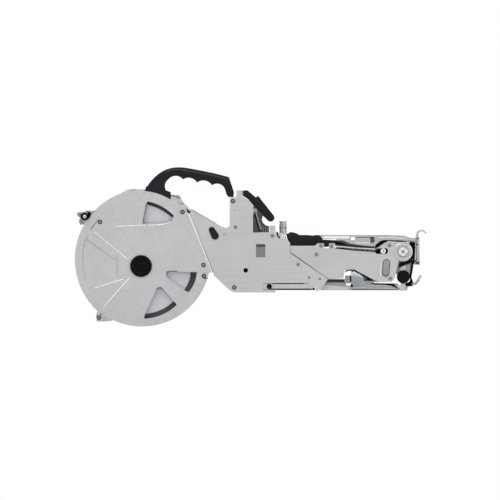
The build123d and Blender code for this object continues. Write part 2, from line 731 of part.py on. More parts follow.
# Drive lever: hangs on the sprocket shaft and is slotted round the clevis pin
lever_depth = -2.6
lever_thick = 1.8
clevis_r = 1.5
with BuildPart() as drive_lever:
    with BuildSketch(side(lever_depth)):
        with Locations((sprocket_x, sprocket_z)):
            Circle(7.0)
        outline([(sprocket_x - 5.0, sprocket_z), (sprocket_x + 5.0, sprocket_z), (sprocket_x + 3.6, wheel_z),
                 (sprocket_x + 3.2, clevis_pin_z), (sprocket_x - 3.2, clevis_pin_z),
                 (sprocket_x - 3.6, wheel_z)])
        with Locations((sprocket_x, clevis_pin_z - 1.0)):
            Circle(3.2)
        outline([(sprocket_x, sprocket_z + 5.0), (sprocket_x - 12.0, sprocket_z - 2.5),
                 (sprocket_x - 13.8, sprocket_z - 6.0), (sprocket_x - 11.0, sprocket_z - 9.5),
                 (sprocket_x, sprocket_z - 7)])
        with Locations((sprocket_x, sprocket_z)):
            Circle(sprocket_shaft_r + pin_clear, mode=Mode.SUBTRACT)
        with Locations((sprocket_x, clevis_pin_z - 0.4)):
            SlotOverall(2 * clevis_r + 3.2, 2 * clevis_r + 0.5, rotation=90, mode=Mode.SUBTRACT)
        with Locations((wheel_x, wheel_z)):
            Circle(wheel_pin_r, mode=Mode.SUBTRACT)
    extrude(amount=lever_thick)
save(drive_lever.part, "drive_lever")

pawl_x = sprocket_x - 11.8
pawl_z = sprocket_z - 6.6
with BuildPart() as lever_pins:
    pin(wheel_x, wheel_z, wheel_pin_r, lever_depth, lever_depth - lever_thick - 3.2)
    pin(pawl_x, pawl_z, 0.9, lever_depth - lever_thick, lever_depth - lever_thick - 2.1)
save(lever_pins.part, "lever_pins")

with BuildPart() as follower_wheel:
    with BuildSketch(side(lever_depth - lever_thick - 0.3)):
        with Locations((wheel_x, wheel_z)):
            Circle(wheel_r)
    extrude(amount=4.0)
    chamfer(follower_wheel.faces().sort_by(Axis.Y)[0].outer_wire().edges(), 0.8)
    with BuildSketch(side(lever_depth - lever_thick - 0.3)):
        with Locations((wheel_x, wheel_z)):
            Circle(wheel_pin_r + pin_clear)
    extrude(amount=3.0, mode=Mode.SUBTRACT)
save(follower_wheel.part, "follower_wheel")

# Sprung pawl on the lever, one tooth deep in the ratchet
with BuildPart() as pawl:
    with BuildSketch(side(ratchet_depth)):
        with Locations((pawl_x, pawl_z)):
            Circle(1.9)
        outline([(pawl_x - 1.8, pawl_z + 0.4), (pawl_x + 1.2, pawl_z + 1.2),
                 polar(sprocket_x, sprocket_z, ratchet_r + 0.4, 188.0), polar(sprocket_x, sprocket_z,
                        ratchet_r + 0.3, 184.0),
                 polar(sprocket_x, sprocket_z, ratchet_r + 1.8, 184.0)])
        with Locations((pawl_x, pawl_z)):
            Circle(0.9 + pin_clear, mode=Mode.SUBTRACT)
    extrude(amount=ratchet_wide)
save(pawl.part, "pawl")


# Air cylinder under the front, with its head, fitting and short hose
cylinder_y = -3.5
barrel_end = -6.3
with BuildPart() as cylinder_barrel:
    with BuildSketch(lengthwise(-54.0, cylinder_y, cylinder_z)):
        Circle(cylinder_r)
        Circle(cylinder_r - 1.0, mode=Mode.SUBTRACT)
    extrude(amount=barrel_end + 54.0)
    with BuildSketch(lengthwise(barrel_end - 3.0, cylinder_y, cylinder_z)):
        Circle(cylinder_r)
        Circle(rod_r + pin_clear, mode=Mode.SUBTRACT)
    extrude(amount=3.0)
save(cylinder_barrel.part, "cylinder_barrel")

with BuildPart() as cylinder_head:
    with BuildSketch(side(2.5)):
        outline([(-76.5, 0.8), (-42.0, 0.8), (-42.0, 13.2), (-57.6, 14.4), (-57.6, 22.2), (-67.0, 27.8),
                 (-76.5, 27.8)], 0.8)
    extrude(amount=2.5 + inner - 0.1)
    with BuildSketch(lengthwise(-54.0, cylinder_y, cylinder_z)):
        Circle(cylinder_r + 0.05)
    extrude(amount=13.0, mode=Mode.SUBTRACT)
    with BuildSketch(lengthwise(-58.0, cylinder_y, cylinder_z)):
        Circle(cylinder_r - 1.2)
    extrude(amount=4.1, mode=Mode.SUBTRACT)
save(cylinder_head.part, "cylinder_head")

with BuildPart() as bottom_rail:
    with BuildSketch(side(2.5)):
        outline([(-123.5, 0.8), (-76.6, 0.8), (-76.6, 6.4), (-88.0, 6.4), (-117.0, 8.6), (-123.5, 8.6)])
    extrude(amount=1.6)
save(bottom_rail.part, "bottom_rail")

hose_z = 14.6
fitting_start = -86.0
inlet_face = -120.0
with BuildPart() as air_fitting:
    with BuildSketch(lengthwise(fitting_start, cylinder_y, hose_z)):
        Circle(3.6)
        Circle(2.0, mode=Mode.SUBTRACT)
    extrude(amount=-76.5 - fitting_start)
    for ridge in range(3):
        with BuildSketch(lengthwise(fitting_start + 0.8 + 2.4 * ridge, cylinder_y, hose_z)):
            Circle(4.1)
            Circle(3.4, mode=Mode.SUBTRACT)
        extrude(amount=1.4)
save(air_fitting.part, "air_fitting")

with BuildPart() as air_hose:
    with BuildSketch(lengthwise(inlet_face, cylinder_y, hose_z)):
        Circle(2.4)
        Circle(1.3, mode=Mode.SUBTRACT)
    extrude(amount=fitting_start - inlet_face)
save(air_hose.part, "air_hose")

with BuildPart() as air_valve:
    with BuildSketch(side(2.5)):
        outline([(-134.0, 8.6), (inlet_face, 8.6), (inlet_face, 21.0), (-134.0, 21.0)], 1.0)
    extrude(amount=2.5 + inner - 2.2)
save(air_valve.part, "air_valve")

with BuildPart() as piston_rod:
    with BuildSketch(lengthwise(-52.0, cylinder_y, cylinder_z)):
        Circle(rod_r)
    extrude(amount=52.0 - 4.5 + sprocket_x)
    with BuildSketch(lengthwise(-52.0, cylinder_y, cylinder_z)):
        Circle(cylinder_r - 1.0 - pin_clear)
    extrude(amount=5.0)
save(piston_rod.part, "piston_rod")

clevis_half = 3.0
with BuildPart() as rod_clevis:
    with BuildSketch(side(cylinder_y + clevis_half)):
        outline([(sprocket_x - 4.5, -0.3), (sprocket_x + 4.0, -0.3), (sprocket_x + 4.0, 8.8),
                 (sprocket_x - 4.5, 8.8)],
                0.8)
    extrude(amount=2 * clevis_half)
    with BuildSketch(side(lever_depth + gap)):
        outline([(sprocket_x - 4.0, -1.0), (sprocket_x + 5.0, -1.0), (sprocket_x + 5.0, 10.0),
                 (sprocket_x - 4.0, 10.0)])
    extrude(amount=lever_thick + 2 * gap, mode=Mode.SUBTRACT)
    with BuildSketch(side(lever_depth + gap)):
        outline([(sprocket_x - 5.0, clevis_pin_z + 0.6), (sprocket_x, clevis_pin_z + 0.6), (sprocket_x, 10.0),
                 (sprocket_x - 5.0, 10.0)])
    extrude(amount=lever_thick + 2 * gap, mode=Mode.SUBTRACT)
    pin(sprocket_x, clevis_pin_z, clevis_r, cylinder_y + clevis_half, cylinder_y - clevis_half, 2.5, 0.8)
save(rod_clevis.part, "rod_clevis")


# Exit chute that turns the empty tape down round the sprocket
chute_r = pitch_r + 1.7
chute_wall = 1.3
chute_near = -1.9
chute_far = 7.5
blade_edge = [(14.4, 47.0), (16.0, 44.0), (13.6, 21.8), (14.6, 10.0), (16.5, 6.6), (4.5, 6.6), (4.0, 8.0),
              (12.4, 9.4), (11.6, 21.8), (14.0, 42.0)]
with BuildPart() as exit_chute:
    with BuildSketch(side(chute_far)):
        ring_sector(sprocket_x, sprocket_z, chute_r, chute_r + chute_wall, -44.0, 52.0)
    extrude(amount=2 * chute_far)
    with BuildSketch(side(chute_far)):
        ring_sector(sprocket_x, sprocket_z, chute_r, chute_r + chute_wall, -104.0, -43.0)
    extrude(amount=chute_far - chute_near)
    with BuildSketch(side(-chute_far + 0.8)):
        ring_sector(sprocket_x, sprocket_z, boss_r + 0.35, chute_r + chute_wall, -104.0, 52.0)
        outline([(-4.5, 40.5), (4.5, 42.0), (16.5, 49.0), (12.8, 41.3), (3.0, 37.5), (-4.5, 33.8)], 0.8)
    extrude(amount=0.8)
    with BuildSketch(side(chute_far)):
        outline(blade_edge)
    extrude(amount=chute_far - chute_near)
    with BuildSketch(side(rail_depth - rail_thick + gap)):
        outline([(-2.0, 2.0), (20.0, 2.0), (20.0, 14.5), (-2.0, 14.5)])
    extrude(amount=4.0 + 2 * gap, mode=Mode.SUBTRACT)
    with BuildSketch(side(cylinder_y + clevis_half + gap)):
        outline([(-2.0, -1.0), (20.0, -1.0), (20.0, 10.2), (-2.0, 10.2)])
    extrude(amount=4.0, mode=Mode.SUBTRACT)
save(exit_chute.part, "exit_chute")

# Rail that the tape slides on, and the hinged guide over it
guide_half = 6.4
with BuildPart() as tape_rail:
    with BuildSketch(side(5.8)):
        outline([(-99.5, 67.6), (-42.0, 63.7), (-27.0, 72.0), (-15.0, 72.4), (-15.0, 70.9), (-26.5, 70.5),
                 (-42.5, 61.6), (-99.5, 65.4)])
    extrude(amount=9.4)
save(tape_rail.part, "tape_rail")

guide_x = -124.5
guide_z = 80.2
with BuildPart() as tape_guide:
    with BuildSketch(side(guide_half)):
        outline([(-128.5, 83.2), (-39.0, 83.2), (-4.0, 82.4), (8.0, 80.4), (19.4, 77.6), (19.4, 75.0),
                 (-20.0, 75.4),
                 (-29.5, 75.0), (-41.0, 66.0), (-98.5, 71.0), (-98.5, 77.4), (-121.5, 77.4), (-126.5, 78.0)])
        with Locations((guide_x, guide_z)):
            Circle(1.2 + pin_clear, mode=Mode.SUBTRACT)
    extrude(amount=2 * guide_half)
    with BuildSketch(side(guide_half - sheet)):
        outline([(-98.5 + sheet, 60.0), (22.0, 60.0), (22.0, 74.8), (7.6, 78.6), (-4.2, 81.0), (-39.0, 81.8),
                 (-98.5 + sheet, 81.8)])
    extrude(amount=2 * (guide_half - sheet), mode=Mode.SUBTRACT)
    with BuildSketch(upward(-2.0, 1.0, 79.0)):
        Rectangle(9.0, 5.0)
    extrude(amount=6.0, mode=Mode.SUBTRACT)
    with BuildSketch(side(-guide_half + 0.5)):
        outline([(-69.0, 73.0), (-42.0, 71.5), (-42.0, 80.5), (-69.0, 80.5)])
    extrude(amount=1.0, mode=Mode.SUBTRACT)
    with BuildSketch(side(guide_half)):
        outline([(-118.0, 79.4), (-78.5, 79.4), (-78.5, 81.1), (-118.0, 81.1)])
        outline([(-76.5, 74.4), (-70.7, 74.4), (-70.7, 80.2), (-76.5, 80.2)], 0.6)
    extrude(amount=2 * guide_half, mode=Mode.SUBTRACT)
    with BuildSketch(side(-guide_half + sheet + 0.1)):
        outline([(-46.4, 72.8), (-42.6, 72.5), (-42.6, 80.2), (-46.4, 80.2)], 0.5)
    extrude(amount=sheet + 0.2, mode=Mode.SUBTRACT)
save(tape_guide.part, "tape_guide")

with BuildPart() as shutter:
    with BuildSketch(upward(-2.0, 1.0, 83.3)):
        Rectangle(12.0, 6.4)
        with Locations((-3.0, 0)):
            Rectangle(2.6, 3.4, mode=Mode.SUBTRACT)
    extrude(amount=0.5)
save(shutter.part, "shutter")

# Take-up housing with two meshing rollers that pull the cover tape off
housing_half = inner - 0.2
tongue_back = -4.4
blind_skin = 0.5
roller_pitch = 6.0
gear_teeth = 13
take_z = 75.3
take_rear_x = -158.0
take_front_x = take_rear_x + 2 * roller_pitch
with BuildPart() as roller_housing:
    with BuildSketch(side(housing_half)):
        outline([(-172.3, 78.0), (-172.3, 84.6), (-168.0, 87.6), (-162.5, 87.2), (-157.5, 85.4),
                 (-154.0, 83.3),
                 (-141.0, 83.3), (-133.0, 82.4), (-129.6, 83.4), (-124.0, 83.0), (-120.3, 79.0),
                 (-118.5, 76.4),
                 (-100.2, 75.4), (-100.2, 67.2), (-116.5, 65.0), (-118.5, 69.0), (-128.0, 69.0),
                 (-130.0, 67.0),
                 (-166.8, 67.0)], 0.9)
    extrude(amount=2 * housing_half)
    with BuildSketch(side(tongue_back)):
        outline([(-102.0, 70.4), (-41.5, 65.2), (-41.5, 64.2), (-102.0, 68.0)])
    extrude(amount=tongue_back + housing_half)
    with BuildSketch(side(guide_half + gap)):
        outline([(-131.2, 76.7), (-96.0, 76.7), (-96.0, 90.0), (-131.2, 90.0)])
    extrude(amount=2 * (guide_half + gap), mode=Mode.SUBTRACT)
    with BuildSketch(side(housing_half)):
        outline([(-166.5, 68.3), (-137.0, 68.3), (-137.0, 82.3), (-155.0, 82.3), (-160.0, 84.4),
                 (-166.5, 84.6)])
    extrude(amount=2 * housing_half - sheet, mode=Mode.SUBTRACT)
    with BuildSketch(side(housing_half)):
        with Locations((take_rear_x, take_z), (take_front_x, take_z)):
            Circle(1.6)
        with Locations((guide_x, guide_z)):
            Circle(1.2)
    extrude(amount=2 * housing_half - blind_skin, mode=Mode.SUBTRACT)
save(roller_housing.part, "roller_housing")

with BuildPart() as housing_lid:
    with BuildSketch(side(inner)):
        outline([(-166.4, 68.4), (-137.1, 68.4), (-137.1, 82.2), (-155.0, 82.2), (-160.0, 84.3),
                 (-166.4, 84.5)])
    extrude(amount=1.3)
save(housing_lid.part, "housing_lid")



def take_up_roller(x, turn):
    tooth_angle = 360.0 / gear_teeth
    with BuildPart() as roller:
        with BuildSketch(side(5.9)):
            with Locations((x, take_z)):
                Circle(roller_pitch - 0.25)
                Circle(1.6 + pin_clear, mode=Mode.SUBTRACT)
        extrude(amount=9.0)
        with BuildSketch(side(-3.1)):
            points = []
            for tooth in range(gear_teeth):
                middle = turn + tooth * tooth_angle
                for height, share in ((-0.95, -0.30), (0, -0.22), (0.6, -0.12), (0.6, 0.12), (0, 0.22),
                        (-0.95, 0.30)):
                    points.append(polar(x, take_z, roller_pitch + height, middle + share * tooth_angle))
            outline(points)
            with Locations((x, take_z)):
                Circle(1.6 + pin_clear, mode=Mode.SUBTRACT)
        extrude(amount=2.8)
    return roller.part


save(take_up_roller(take_rear_x, 0.0), "rear_take_up_roller")
save(take_up_roller(take_front_x, 180.0 + 180.0 / gear_teeth), "front_take_up_roller")

# Front latch with its finger horn
with BuildPart() as front_latch:
    with BuildSketch(side(3.0)):
        outline([(20.3, 39.0), (26.4, 39.0), (26.4, 78.0), (24.8, 84.5), (26.8, 88.4), (31.5, 88.6),
                 (36.2, 84.8),
                 (37.2, 86.8), (32.6, 91.2), (26.6, 91.6), (22.4, 89.2), (20.9, 84.0), (20.3, 80.0)], 0.9)
        with Locations((latch_pin_x, latch_pin_z)):
            Circle(1.3 + pin_clear, mode=Mode.SUBTRACT)
    extrude(amount=6.0)
save(front_latch.part, "front_latch")


# Pins that the fixed pieces carry
with BuildPart() as pivot_pins:
    pin(door_pin_x, door_pin_z, 1.5, half_width, -half_width - gap - door_skin - 0.1, screw_r, screw_head)
    pin(roller_x, roller_z, 1.5, -half_width, -half_width - sheet - 8.0, 2.6, 0.8)
    pin(lever_x, lever_z, lever_pin_r, lever_half, -lever_half + blind_wall + 0.1)
    pin(crank_x, crank_z, 2.5, inner, crank_depth - crank_thick - 0.6)
    pin(crank_x, crank_z, 4.2, inner, crank_depth + 0.2)
    pin(button_x + 4.8, button_z - 8.9, 1.5, -half_width, -half_width - 2.2)
    pin(latch_pin_x, latch_pin_z, 1.3, half_width, -3.4, 2.2, 0.6)
    pin(take_rear_x, take_z, 1.6, inner - 1.3, -housing_half + blind_skin)
    pin(take_front_x, take_z, 1.6, inner - 1.3, -housing_half + blind_skin)
    pin(guide_x, guide_z, 1.2, housing_half, -housing_half + blind_skin)
    pin(idler_x, idler_z, 2.2, inner, -half_width + 1.4, 3.9, 2.2)
save(pivot_pins.part, "pivot_pins")

# Oblong cover on the near front plate
with BuildPart() as oblong_cover:
    with BuildSketch(side(-half_width)):
        with Locations((-24.0, 33.8)):
            SlotOverall(26.5, 10.8, rotation=86.5)
    extrude(amount=1.0)
save(oblong_cover.part, "oblong_cover")

# Screw heads, one group for each plate level
def screw_heads(places, plane_y):
    with BuildPart() as heads:
        with BuildSketch(side(plane_y)):
            with Locations(*places):
                Circle(screw_r)
        extrude(amount=screw_head)
        with BuildSketch(side(plane_y - screw_head)):
            with Locations(*places):
                RegularPolygon(1.3, 6)
        extrude(amount=-0.6, mode=Mode.SUBTRACT)
    return heads.part


small_screws = [(-250.3, 120.8), (-297.0, 21.8), (-121.5, 67.2), (-106.0, 66.6), (-453.0, 102.8)]
plate_screws = body_posts[:5] + [front_posts[0], front_posts[2], front_posts[3]] + small_screws
neck_screws = [(-329.2, 117.8), (-297.8, 38.2)]
screws = screw_heads(plate_screws, -half_width) + screw_heads(neck_screws, -half_width - sheet)
save(screws, "screws")
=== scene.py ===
import bpy, bmesh, json, math
from mathutils import Vector, Matrix

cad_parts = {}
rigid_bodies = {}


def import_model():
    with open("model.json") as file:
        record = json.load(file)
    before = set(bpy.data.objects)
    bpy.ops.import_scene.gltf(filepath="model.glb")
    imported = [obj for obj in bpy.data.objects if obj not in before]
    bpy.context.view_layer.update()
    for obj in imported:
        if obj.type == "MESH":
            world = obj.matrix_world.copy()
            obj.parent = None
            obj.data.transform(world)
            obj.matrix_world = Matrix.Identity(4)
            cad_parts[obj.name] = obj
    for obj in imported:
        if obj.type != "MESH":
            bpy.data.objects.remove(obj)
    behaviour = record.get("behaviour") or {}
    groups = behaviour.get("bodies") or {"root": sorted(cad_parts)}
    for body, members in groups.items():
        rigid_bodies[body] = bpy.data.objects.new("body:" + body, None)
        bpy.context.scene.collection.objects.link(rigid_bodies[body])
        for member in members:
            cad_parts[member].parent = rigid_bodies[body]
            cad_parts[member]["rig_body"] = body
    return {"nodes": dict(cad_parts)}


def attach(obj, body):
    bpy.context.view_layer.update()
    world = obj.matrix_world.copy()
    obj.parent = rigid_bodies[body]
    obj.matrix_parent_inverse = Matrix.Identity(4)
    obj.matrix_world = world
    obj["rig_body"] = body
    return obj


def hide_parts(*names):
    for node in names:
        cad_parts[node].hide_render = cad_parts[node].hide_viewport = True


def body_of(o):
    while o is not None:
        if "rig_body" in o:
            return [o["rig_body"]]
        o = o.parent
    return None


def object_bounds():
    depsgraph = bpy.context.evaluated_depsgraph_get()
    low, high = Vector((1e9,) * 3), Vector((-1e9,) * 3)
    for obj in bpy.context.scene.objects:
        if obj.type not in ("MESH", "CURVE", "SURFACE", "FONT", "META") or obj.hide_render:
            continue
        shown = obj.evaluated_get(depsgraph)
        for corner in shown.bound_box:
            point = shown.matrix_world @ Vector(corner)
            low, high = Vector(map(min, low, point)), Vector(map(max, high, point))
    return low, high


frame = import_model()
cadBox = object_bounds()
nodes = frame["nodes"]
print("frame loaded,", len(nodes), "nodes")

mm = 0.001
seatShift = {"x": 221.25, "z": 3.0}  # from the drawing's zero point under the sprocket to the seat


def spot(x, z, y=0.0):
    # a drawing point in millimetres, as a place in the scene
    return Vector(((x + seatShift["x"]) * mm, y * mm, (z + seatShift["z"]) * mm))


def linked(name, data):
    # a new object in the scene
    thing = bpy.data.objects.new(name, data)
    bpy.context.collection.objects.link(thing)
    return thing


# ---- materials
def newMaterial(name):
    material = bpy.data.materials.new(name)
    material.use_nodes = True
    tree = material.node_tree
    shader = tree.nodes["Principled BSDF"]
    return material, tree, shader


def addNode(tree, kind, inputs=None, **settings):
    node = tree.nodes.new(kind)
    for key, value in settings.items():
        setattr(node, key, value)
    for key, value in (inputs or {}).items():
        node.inputs[key].default_value = value
    return node


def wired(tree, rows):
    # every row links an output of one node to an input of another
    for source, output, target, entry in rows:
        tree.links.new(source.outputs[output], target.inputs[entry])


def objectNoise(tree, scale, stretch=(1, 1, 1), detail=4.0, rough=0.55):
    place = addNode(tree, "ShaderNodeTexCoord")
    mapping = addNode(tree, "ShaderNodeMapping", {"Scale": stretch})
    noise = addNode(tree, "ShaderNodeTexNoise", {"Scale": scale, "Detail": detail, "Roughness": rough})
    wired(tree, [(place, "Object", mapping, "Vector"), (mapping, "Vector", noise, "Vector")])
    return noise.outputs["Fac"]


def colourRamp(tree, factor, low, high, start=0.35, end=0.65):
    ramp = addNode(tree, "ShaderNodeValToRGB")
    ramp.color_ramp.elements[0].position = start
    ramp.color_ramp.elements[1].position = end
    ramp.color_ramp.elements[0].color = (*low, 1)
    ramp.color_ramp.elements[1].color = (*high, 1)
    tree.links.new(factor, ramp.inputs["Fac"])
    return ramp.outputs["Color"]


def remap(tree, factor, low, high):
    span = addNode(tree, "ShaderNodeMapRange", {"To Min": low, "To Max": high})
    tree.links.new(factor, span.inputs["Value"])
    return span.outputs["Result"]


def multiply(tree, first, second, share):
    mix = addNode(tree, "ShaderNodeMix", data_type="RGBA", blend_type="MULTIPLY")
    mix.inputs["Factor"].default_value = share
    tree.links.new(first, mix.inputs["A"])
    tree.links.new(second, mix.inputs["B"])
    return mix.outputs["Result"]


def bumpFrom(tree, shader, factor, strength, distance):
    bump = addNode(tree, "ShaderNodeBump", {"Strength": strength, "Distance": distance})
    tree.links.new(factor, bump.inputs["Height"])
    tree.links.new(bump.outputs["Normal"], shader.inputs["Normal"])


metalPlan = dict(lineScale=3.0, cloudScale=14.0, detail=3.0, haze=(0.93, 0.93, 0.94),
                 hazeShare=0.8, smoother=0.07, rougher=0.09, bump=0.12, bumpDepth=0.0002)
plasticPlan = dict(grainDetail=2.0, rubScale=30.0, rubFrom=0.5, rubTo=0.85, wornGain=1.5,
                   wornLift=0.001, smoother=0.06, rougher=0.12, bump=0.25)
white = (1, 1, 1)


def brushedMetal(name, tone, metallic=0.85, rough=0.38, streak=(4, 60, 700), grain=0.05):
    # metal with fine lines along the streak and a faint haze
    plan = metalPlan
    material, tree, shader = newMaterial(name)
    lines = objectNoise(tree, plan["lineScale"], streak, plan["detail"])
    clouds = objectNoise(tree, plan["cloudScale"], detail=plan["detail"])
    dark = tuple(channel * (1 - grain) for channel in tone)
    light = tuple(min(1, channel * (1 + grain)) for channel in tone)
    brushed = colourRamp(tree, lines, dark, light)
    haze = colourRamp(tree, clouds, plan["haze"], white)
    tree.links.new(multiply(tree, brushed, haze, plan["hazeShare"]), shader.inputs["Base Color"])
    spread = remap(tree, lines, rough - plan["smoother"], rough + plan["rougher"])
    tree.links.new(spread, shader.inputs["Roughness"])
    bumpFrom(tree, shader, lines, plan["bump"], plan["bumpDepth"])
    shader.inputs["Metallic"].default_value = metallic
    return material


def mouldedPlastic(name, tone, rough=0.42, grainScale=900, depth=0.00012, sheen=0.16):
    # plastic with a fine grain, lighter where it is rubbed
    plan = plasticPlan
    material, tree, shader = newMaterial(name)
    grain = objectNoise(tree, grainScale, detail=plan["grainDetail"])
    rubbed = objectNoise(tree, plan["rubScale"])
    worn = tuple(channel * plan["wornGain"] + plan["wornLift"] for channel in tone)
    mixed = colourRamp(tree, rubbed, tone, worn, plan["rubFrom"], plan["rubTo"])
    tree.links.new(mixed, shader.inputs["Base Color"])
    spread = remap(tree, rubbed, rough - plan["smoother"], rough + plan["rougher"])
    tree.links.new(spread, shader.inputs["Roughness"])
    bumpFrom(tree, shader, grain, plan["bump"], depth)
    shader.inputs["Specular IOR Level"].default_value = sheen
    return material


even = (60, 60, 60)  # a streak without direction
fine = (90, 90, 90)
finishes = {
    "plate": brushedMetal("sidePlateAluminium", (0.51, 0.51, 0.505)),
    "disc": brushedMetal("reelCaseAluminium", (0.52, 0.52, 0.52), streak=even, grain=0.03),
    # a lighter copy of the reel case metal: painted light on the inside of the far disc, which lies in shade
    # behind the windows
    "discInsideBrightened": brushedMetal("reelCaseInsidePaintedLight", (0.62, 0.63, 0.65), streak=even, grain=0.03),
    "neck": brushedMetal("neckAluminium", (0.45, 0.45, 0.445)),
    "front": brushedMetal("frontPlateAluminium", (0.505, 0.505, 0.50)),
    "cast": brushedMetal("castHead", (0.27, 0.28, 0.285), rough=0.5, streak=fine),
    "cylinder": brushedMetal("cylinderTube", (0.33, 0.33, 0.335), rough=0.3, streak=(6, 200, 200)),
    "steel": brushedMetal("turnedSteel", (0.42, 0.42, 0.42), metallic=1.0, rough=0.3, streak=(80, 80, 80)),
    "bright": brushedMetal("polishedSteel", (0.66, 0.66, 0.66), metallic=1.0, rough=0.2, streak=fine,
                           grain=0.03),
    "dark": brushedMetal("darkSteel", (0.055, 0.054, 0.050), metallic=0.7, rough=0.45),
    "boss": brushedMetal("turnedBoss", (0.55, 0.55, 0.55), metallic=0.8, rough=0.3, streak=even,
                         grain=0.03),
    "crank": brushedMetal("crankSteel", (0.20, 0.205, 0.215), metallic=0.8, rough=0.45),
    # near-white metal: painted highlights on creases, bends, lips and edges, and the colour of a few bright
    # heads
    "gleam": brushedMetal("polishedAndPaintedHighlight", (0.86, 0.86, 0.86), metallic=0.9, rough=0.25, streak=fine,
                          grain=0.02),
    "shade": brushedMetal("shadedSheet", (0.07, 0.07, 0.072), metallic=0.6, rough=0.5),
    # dark grey: painted shadow lines along plate and door edges and round the fainter screw heads, and dark
    # seams and dots
    "seam": brushedMetal("seamShade", (0.20, 0.20, 0.20), metallic=0.5, rough=0.6),
    "guide": brushedMetal("guideSheet", (0.46, 0.46, 0.46), metallic=0.9, rough=0.33, streak=(3, 80, 900)),
    "nickel": brushedMetal("nickelPlate", (0.40, 0.40, 0.385), metallic=1.0, rough=0.28,
                           streak=(50, 50, 50)),
    "blackPlastic": mouldedPlastic("blackPlastic", (0.0075, 0.008, 0.0105), sheen=0.15),
    # lighter plastic for the painted highlight along the handle's top edge
    "gripEdgeHighlight": mouldedPlastic("gripEdgeHighlight", (0.045, 0.045, 0.047), rough=0.4, sheen=0.3),
    "housingPlastic": mouldedPlastic("housingPlastic", (0.006, 0.0068, 0.0095), rough=0.38, sheen=0.14),
    "knobPlastic": mouldedPlastic("knobPlastic", (0.003, 0.003, 0.003), rough=0.5, sheen=0.06),
    # near-black sheets and caps laid where only shade falls: painted shadow in gaps, slots, holes and
    # sockets; also the black of a few small parts
    "blackAndShadow": mouldedPlastic("blackPlasticAndPaintedShadow", (0.002, 0.002, 0.0024), rough=0.7, sheen=0.03),
    "greyPlastic": mouldedPlastic("wearStripPlastic", (0.082, 0.083, 0.088), rough=0.5, sheen=0.3),
    "rubber": mouldedPlastic("rollerRubber", (0.004, 0.004, 0.004), rough=0.6, grainScale=500, depth=0.0002,
                             sheen=0.08),
    "hose": mouldedPlastic("hosePlastic", (0.03, 0.03, 0.033), rough=0.35),
}
pinPlan = dict(halfLength=0.265, bands=((0.0, 0.7), (0.045, 0.02), (0.85, 0.7), (0.93, 0.05)),
               grainScale=60.0, grain=(0.9, 0.9, 0.9), metallic=0.9, rough=0.3)


def pinMetal():
    # one row of pins: bright at the rear roller and at the tape guide, dark between
    material, tree, shader = newMaterial("pinSteel")
    place = addNode(tree, "ShaderNodeTexCoord")
    along = addNode(tree, "ShaderNodeSeparateXYZ")
    spread = addNode(tree, "ShaderNodeMapRange", {"From Min": -pinPlan["halfLength"],
                                                  "From Max": pinPlan["halfLength"]})
    ramp = addNode(tree, "ShaderNodeValToRGB")
    ramp.color_ramp.interpolation = "CONSTANT"
    for _ in pinPlan["bands"][2:]:
        ramp.color_ramp.elements.new(0.5)
    for element, (position, tone) in zip(ramp.color_ramp.elements, pinPlan["bands"]):
        element.position = position
        element.color = (tone, tone, tone, 1)
    wired(tree, [(place, "Object", along, 0), (along, "X", spread, "Value"),
                 (spread, "Result", ramp, "Fac")])
    grain = colourRamp(tree, objectNoise(tree, pinPlan["grainScale"]), pinPlan["grain"], white)
    tree.links.new(multiply(tree, ramp.outputs["Color"], grain, 1.0), shader.inputs["Base Color"])
    shader.inputs["Metallic"].default_value = pinPlan["metallic"]
    shader.inputs["Roughness"].default_value = pinPlan["rough"]
    return material


finishes["pins"] = pinMetal()

# the nodes shown as they are; one that isn't named has the finish of the side plates
nodesByFinish = {
    "disc": ("reel_cover", "reel_rim", "roller_bracket"),
    "discInsideBrightened": ("reel_back",),
    "front": ("near_front_plate", "far_front_plate", "rod_clevis"),
    "housingPlastic": ("housing_lid",),
    "blackPlastic": ("turn_button",),
    "greyPlastic": ("wear_strips", "reel_sleeve"),
    "rubber": ("rear_roller", "bar_roller", "rear_take_up_roller", "front_take_up_roller"),
    "hose": ("air_hose",),
    "dark": ("lever_bracket",),
    "steel": ("reel_spindle", "sprocket", "ratchet_wheel", "pawl", "tape_rail", "front_hook", "lock_rail"),
    "pins": ("pivot_pins",),
    "bright": ("lever_pins", "sprocket_shaft", "piston_rod", "shutter"),
    "cylinder": ("cylinder_barrel",),
    "cast": ("air_valve", "handle_foot"),
    "nickel": ("air_fitting", "thumb_screw"),
    "guide": ("tape_guide", "drive_lever"),
    "crank": ("lock_crank",),
    "neck": ("door_tab",),
}
nodeFinish = {node: finish for finish, group in nodesByFinish.items() for node in group}
for nodeName, cadObject in nodes.items():
    cadObject.data.materials.clear()
    cadObject.data.materials.append(finishes[nodeFinish.get(nodeName, "plate")])
print("finishes on", len(nodes), "nodes")


# ---- camera and light
cameraPlan = dict(centre=spot(-228.0, 60.75), width=0.75, back=2.2)
camera = linked("viewCamera", bpy.data.cameras.new("viewCamera"))
camera.data.type = "ORTHO"
camera.data.ortho_scale = cameraPlan["width"]
camera.location = cameraPlan["centre"] + Vector((0, -cameraPlan["back"], 0))
camera.rotation_euler = (math.radians(90), 0, 0)
bpy.context.scene.camera = camera

lampPlan = {
    "key": dict(place=(-0.7, -1.5, 1.5), size=1.2, power=16),
    "fill": dict(place=(1.2, -1.3, 0.6), size=1.4, power=8),
    "back": dict(place=(0.2, 1.4, 1.2), size=1.2, power=8),
}
for lampName, plan in lampPlan.items():
    lamp = bpy.data.lights.new(lampName, "AREA")
    lamp.energy = plan["power"]
    lamp.size = plan["size"]
    holder = linked(lampName, lamp)
    holder.location = plan["place"]
    sight = cameraPlan["centre"] - Vector(plan["place"])
    holder.rotation_euler = sight.to_track_quat("-Z", "Y").to_euler()

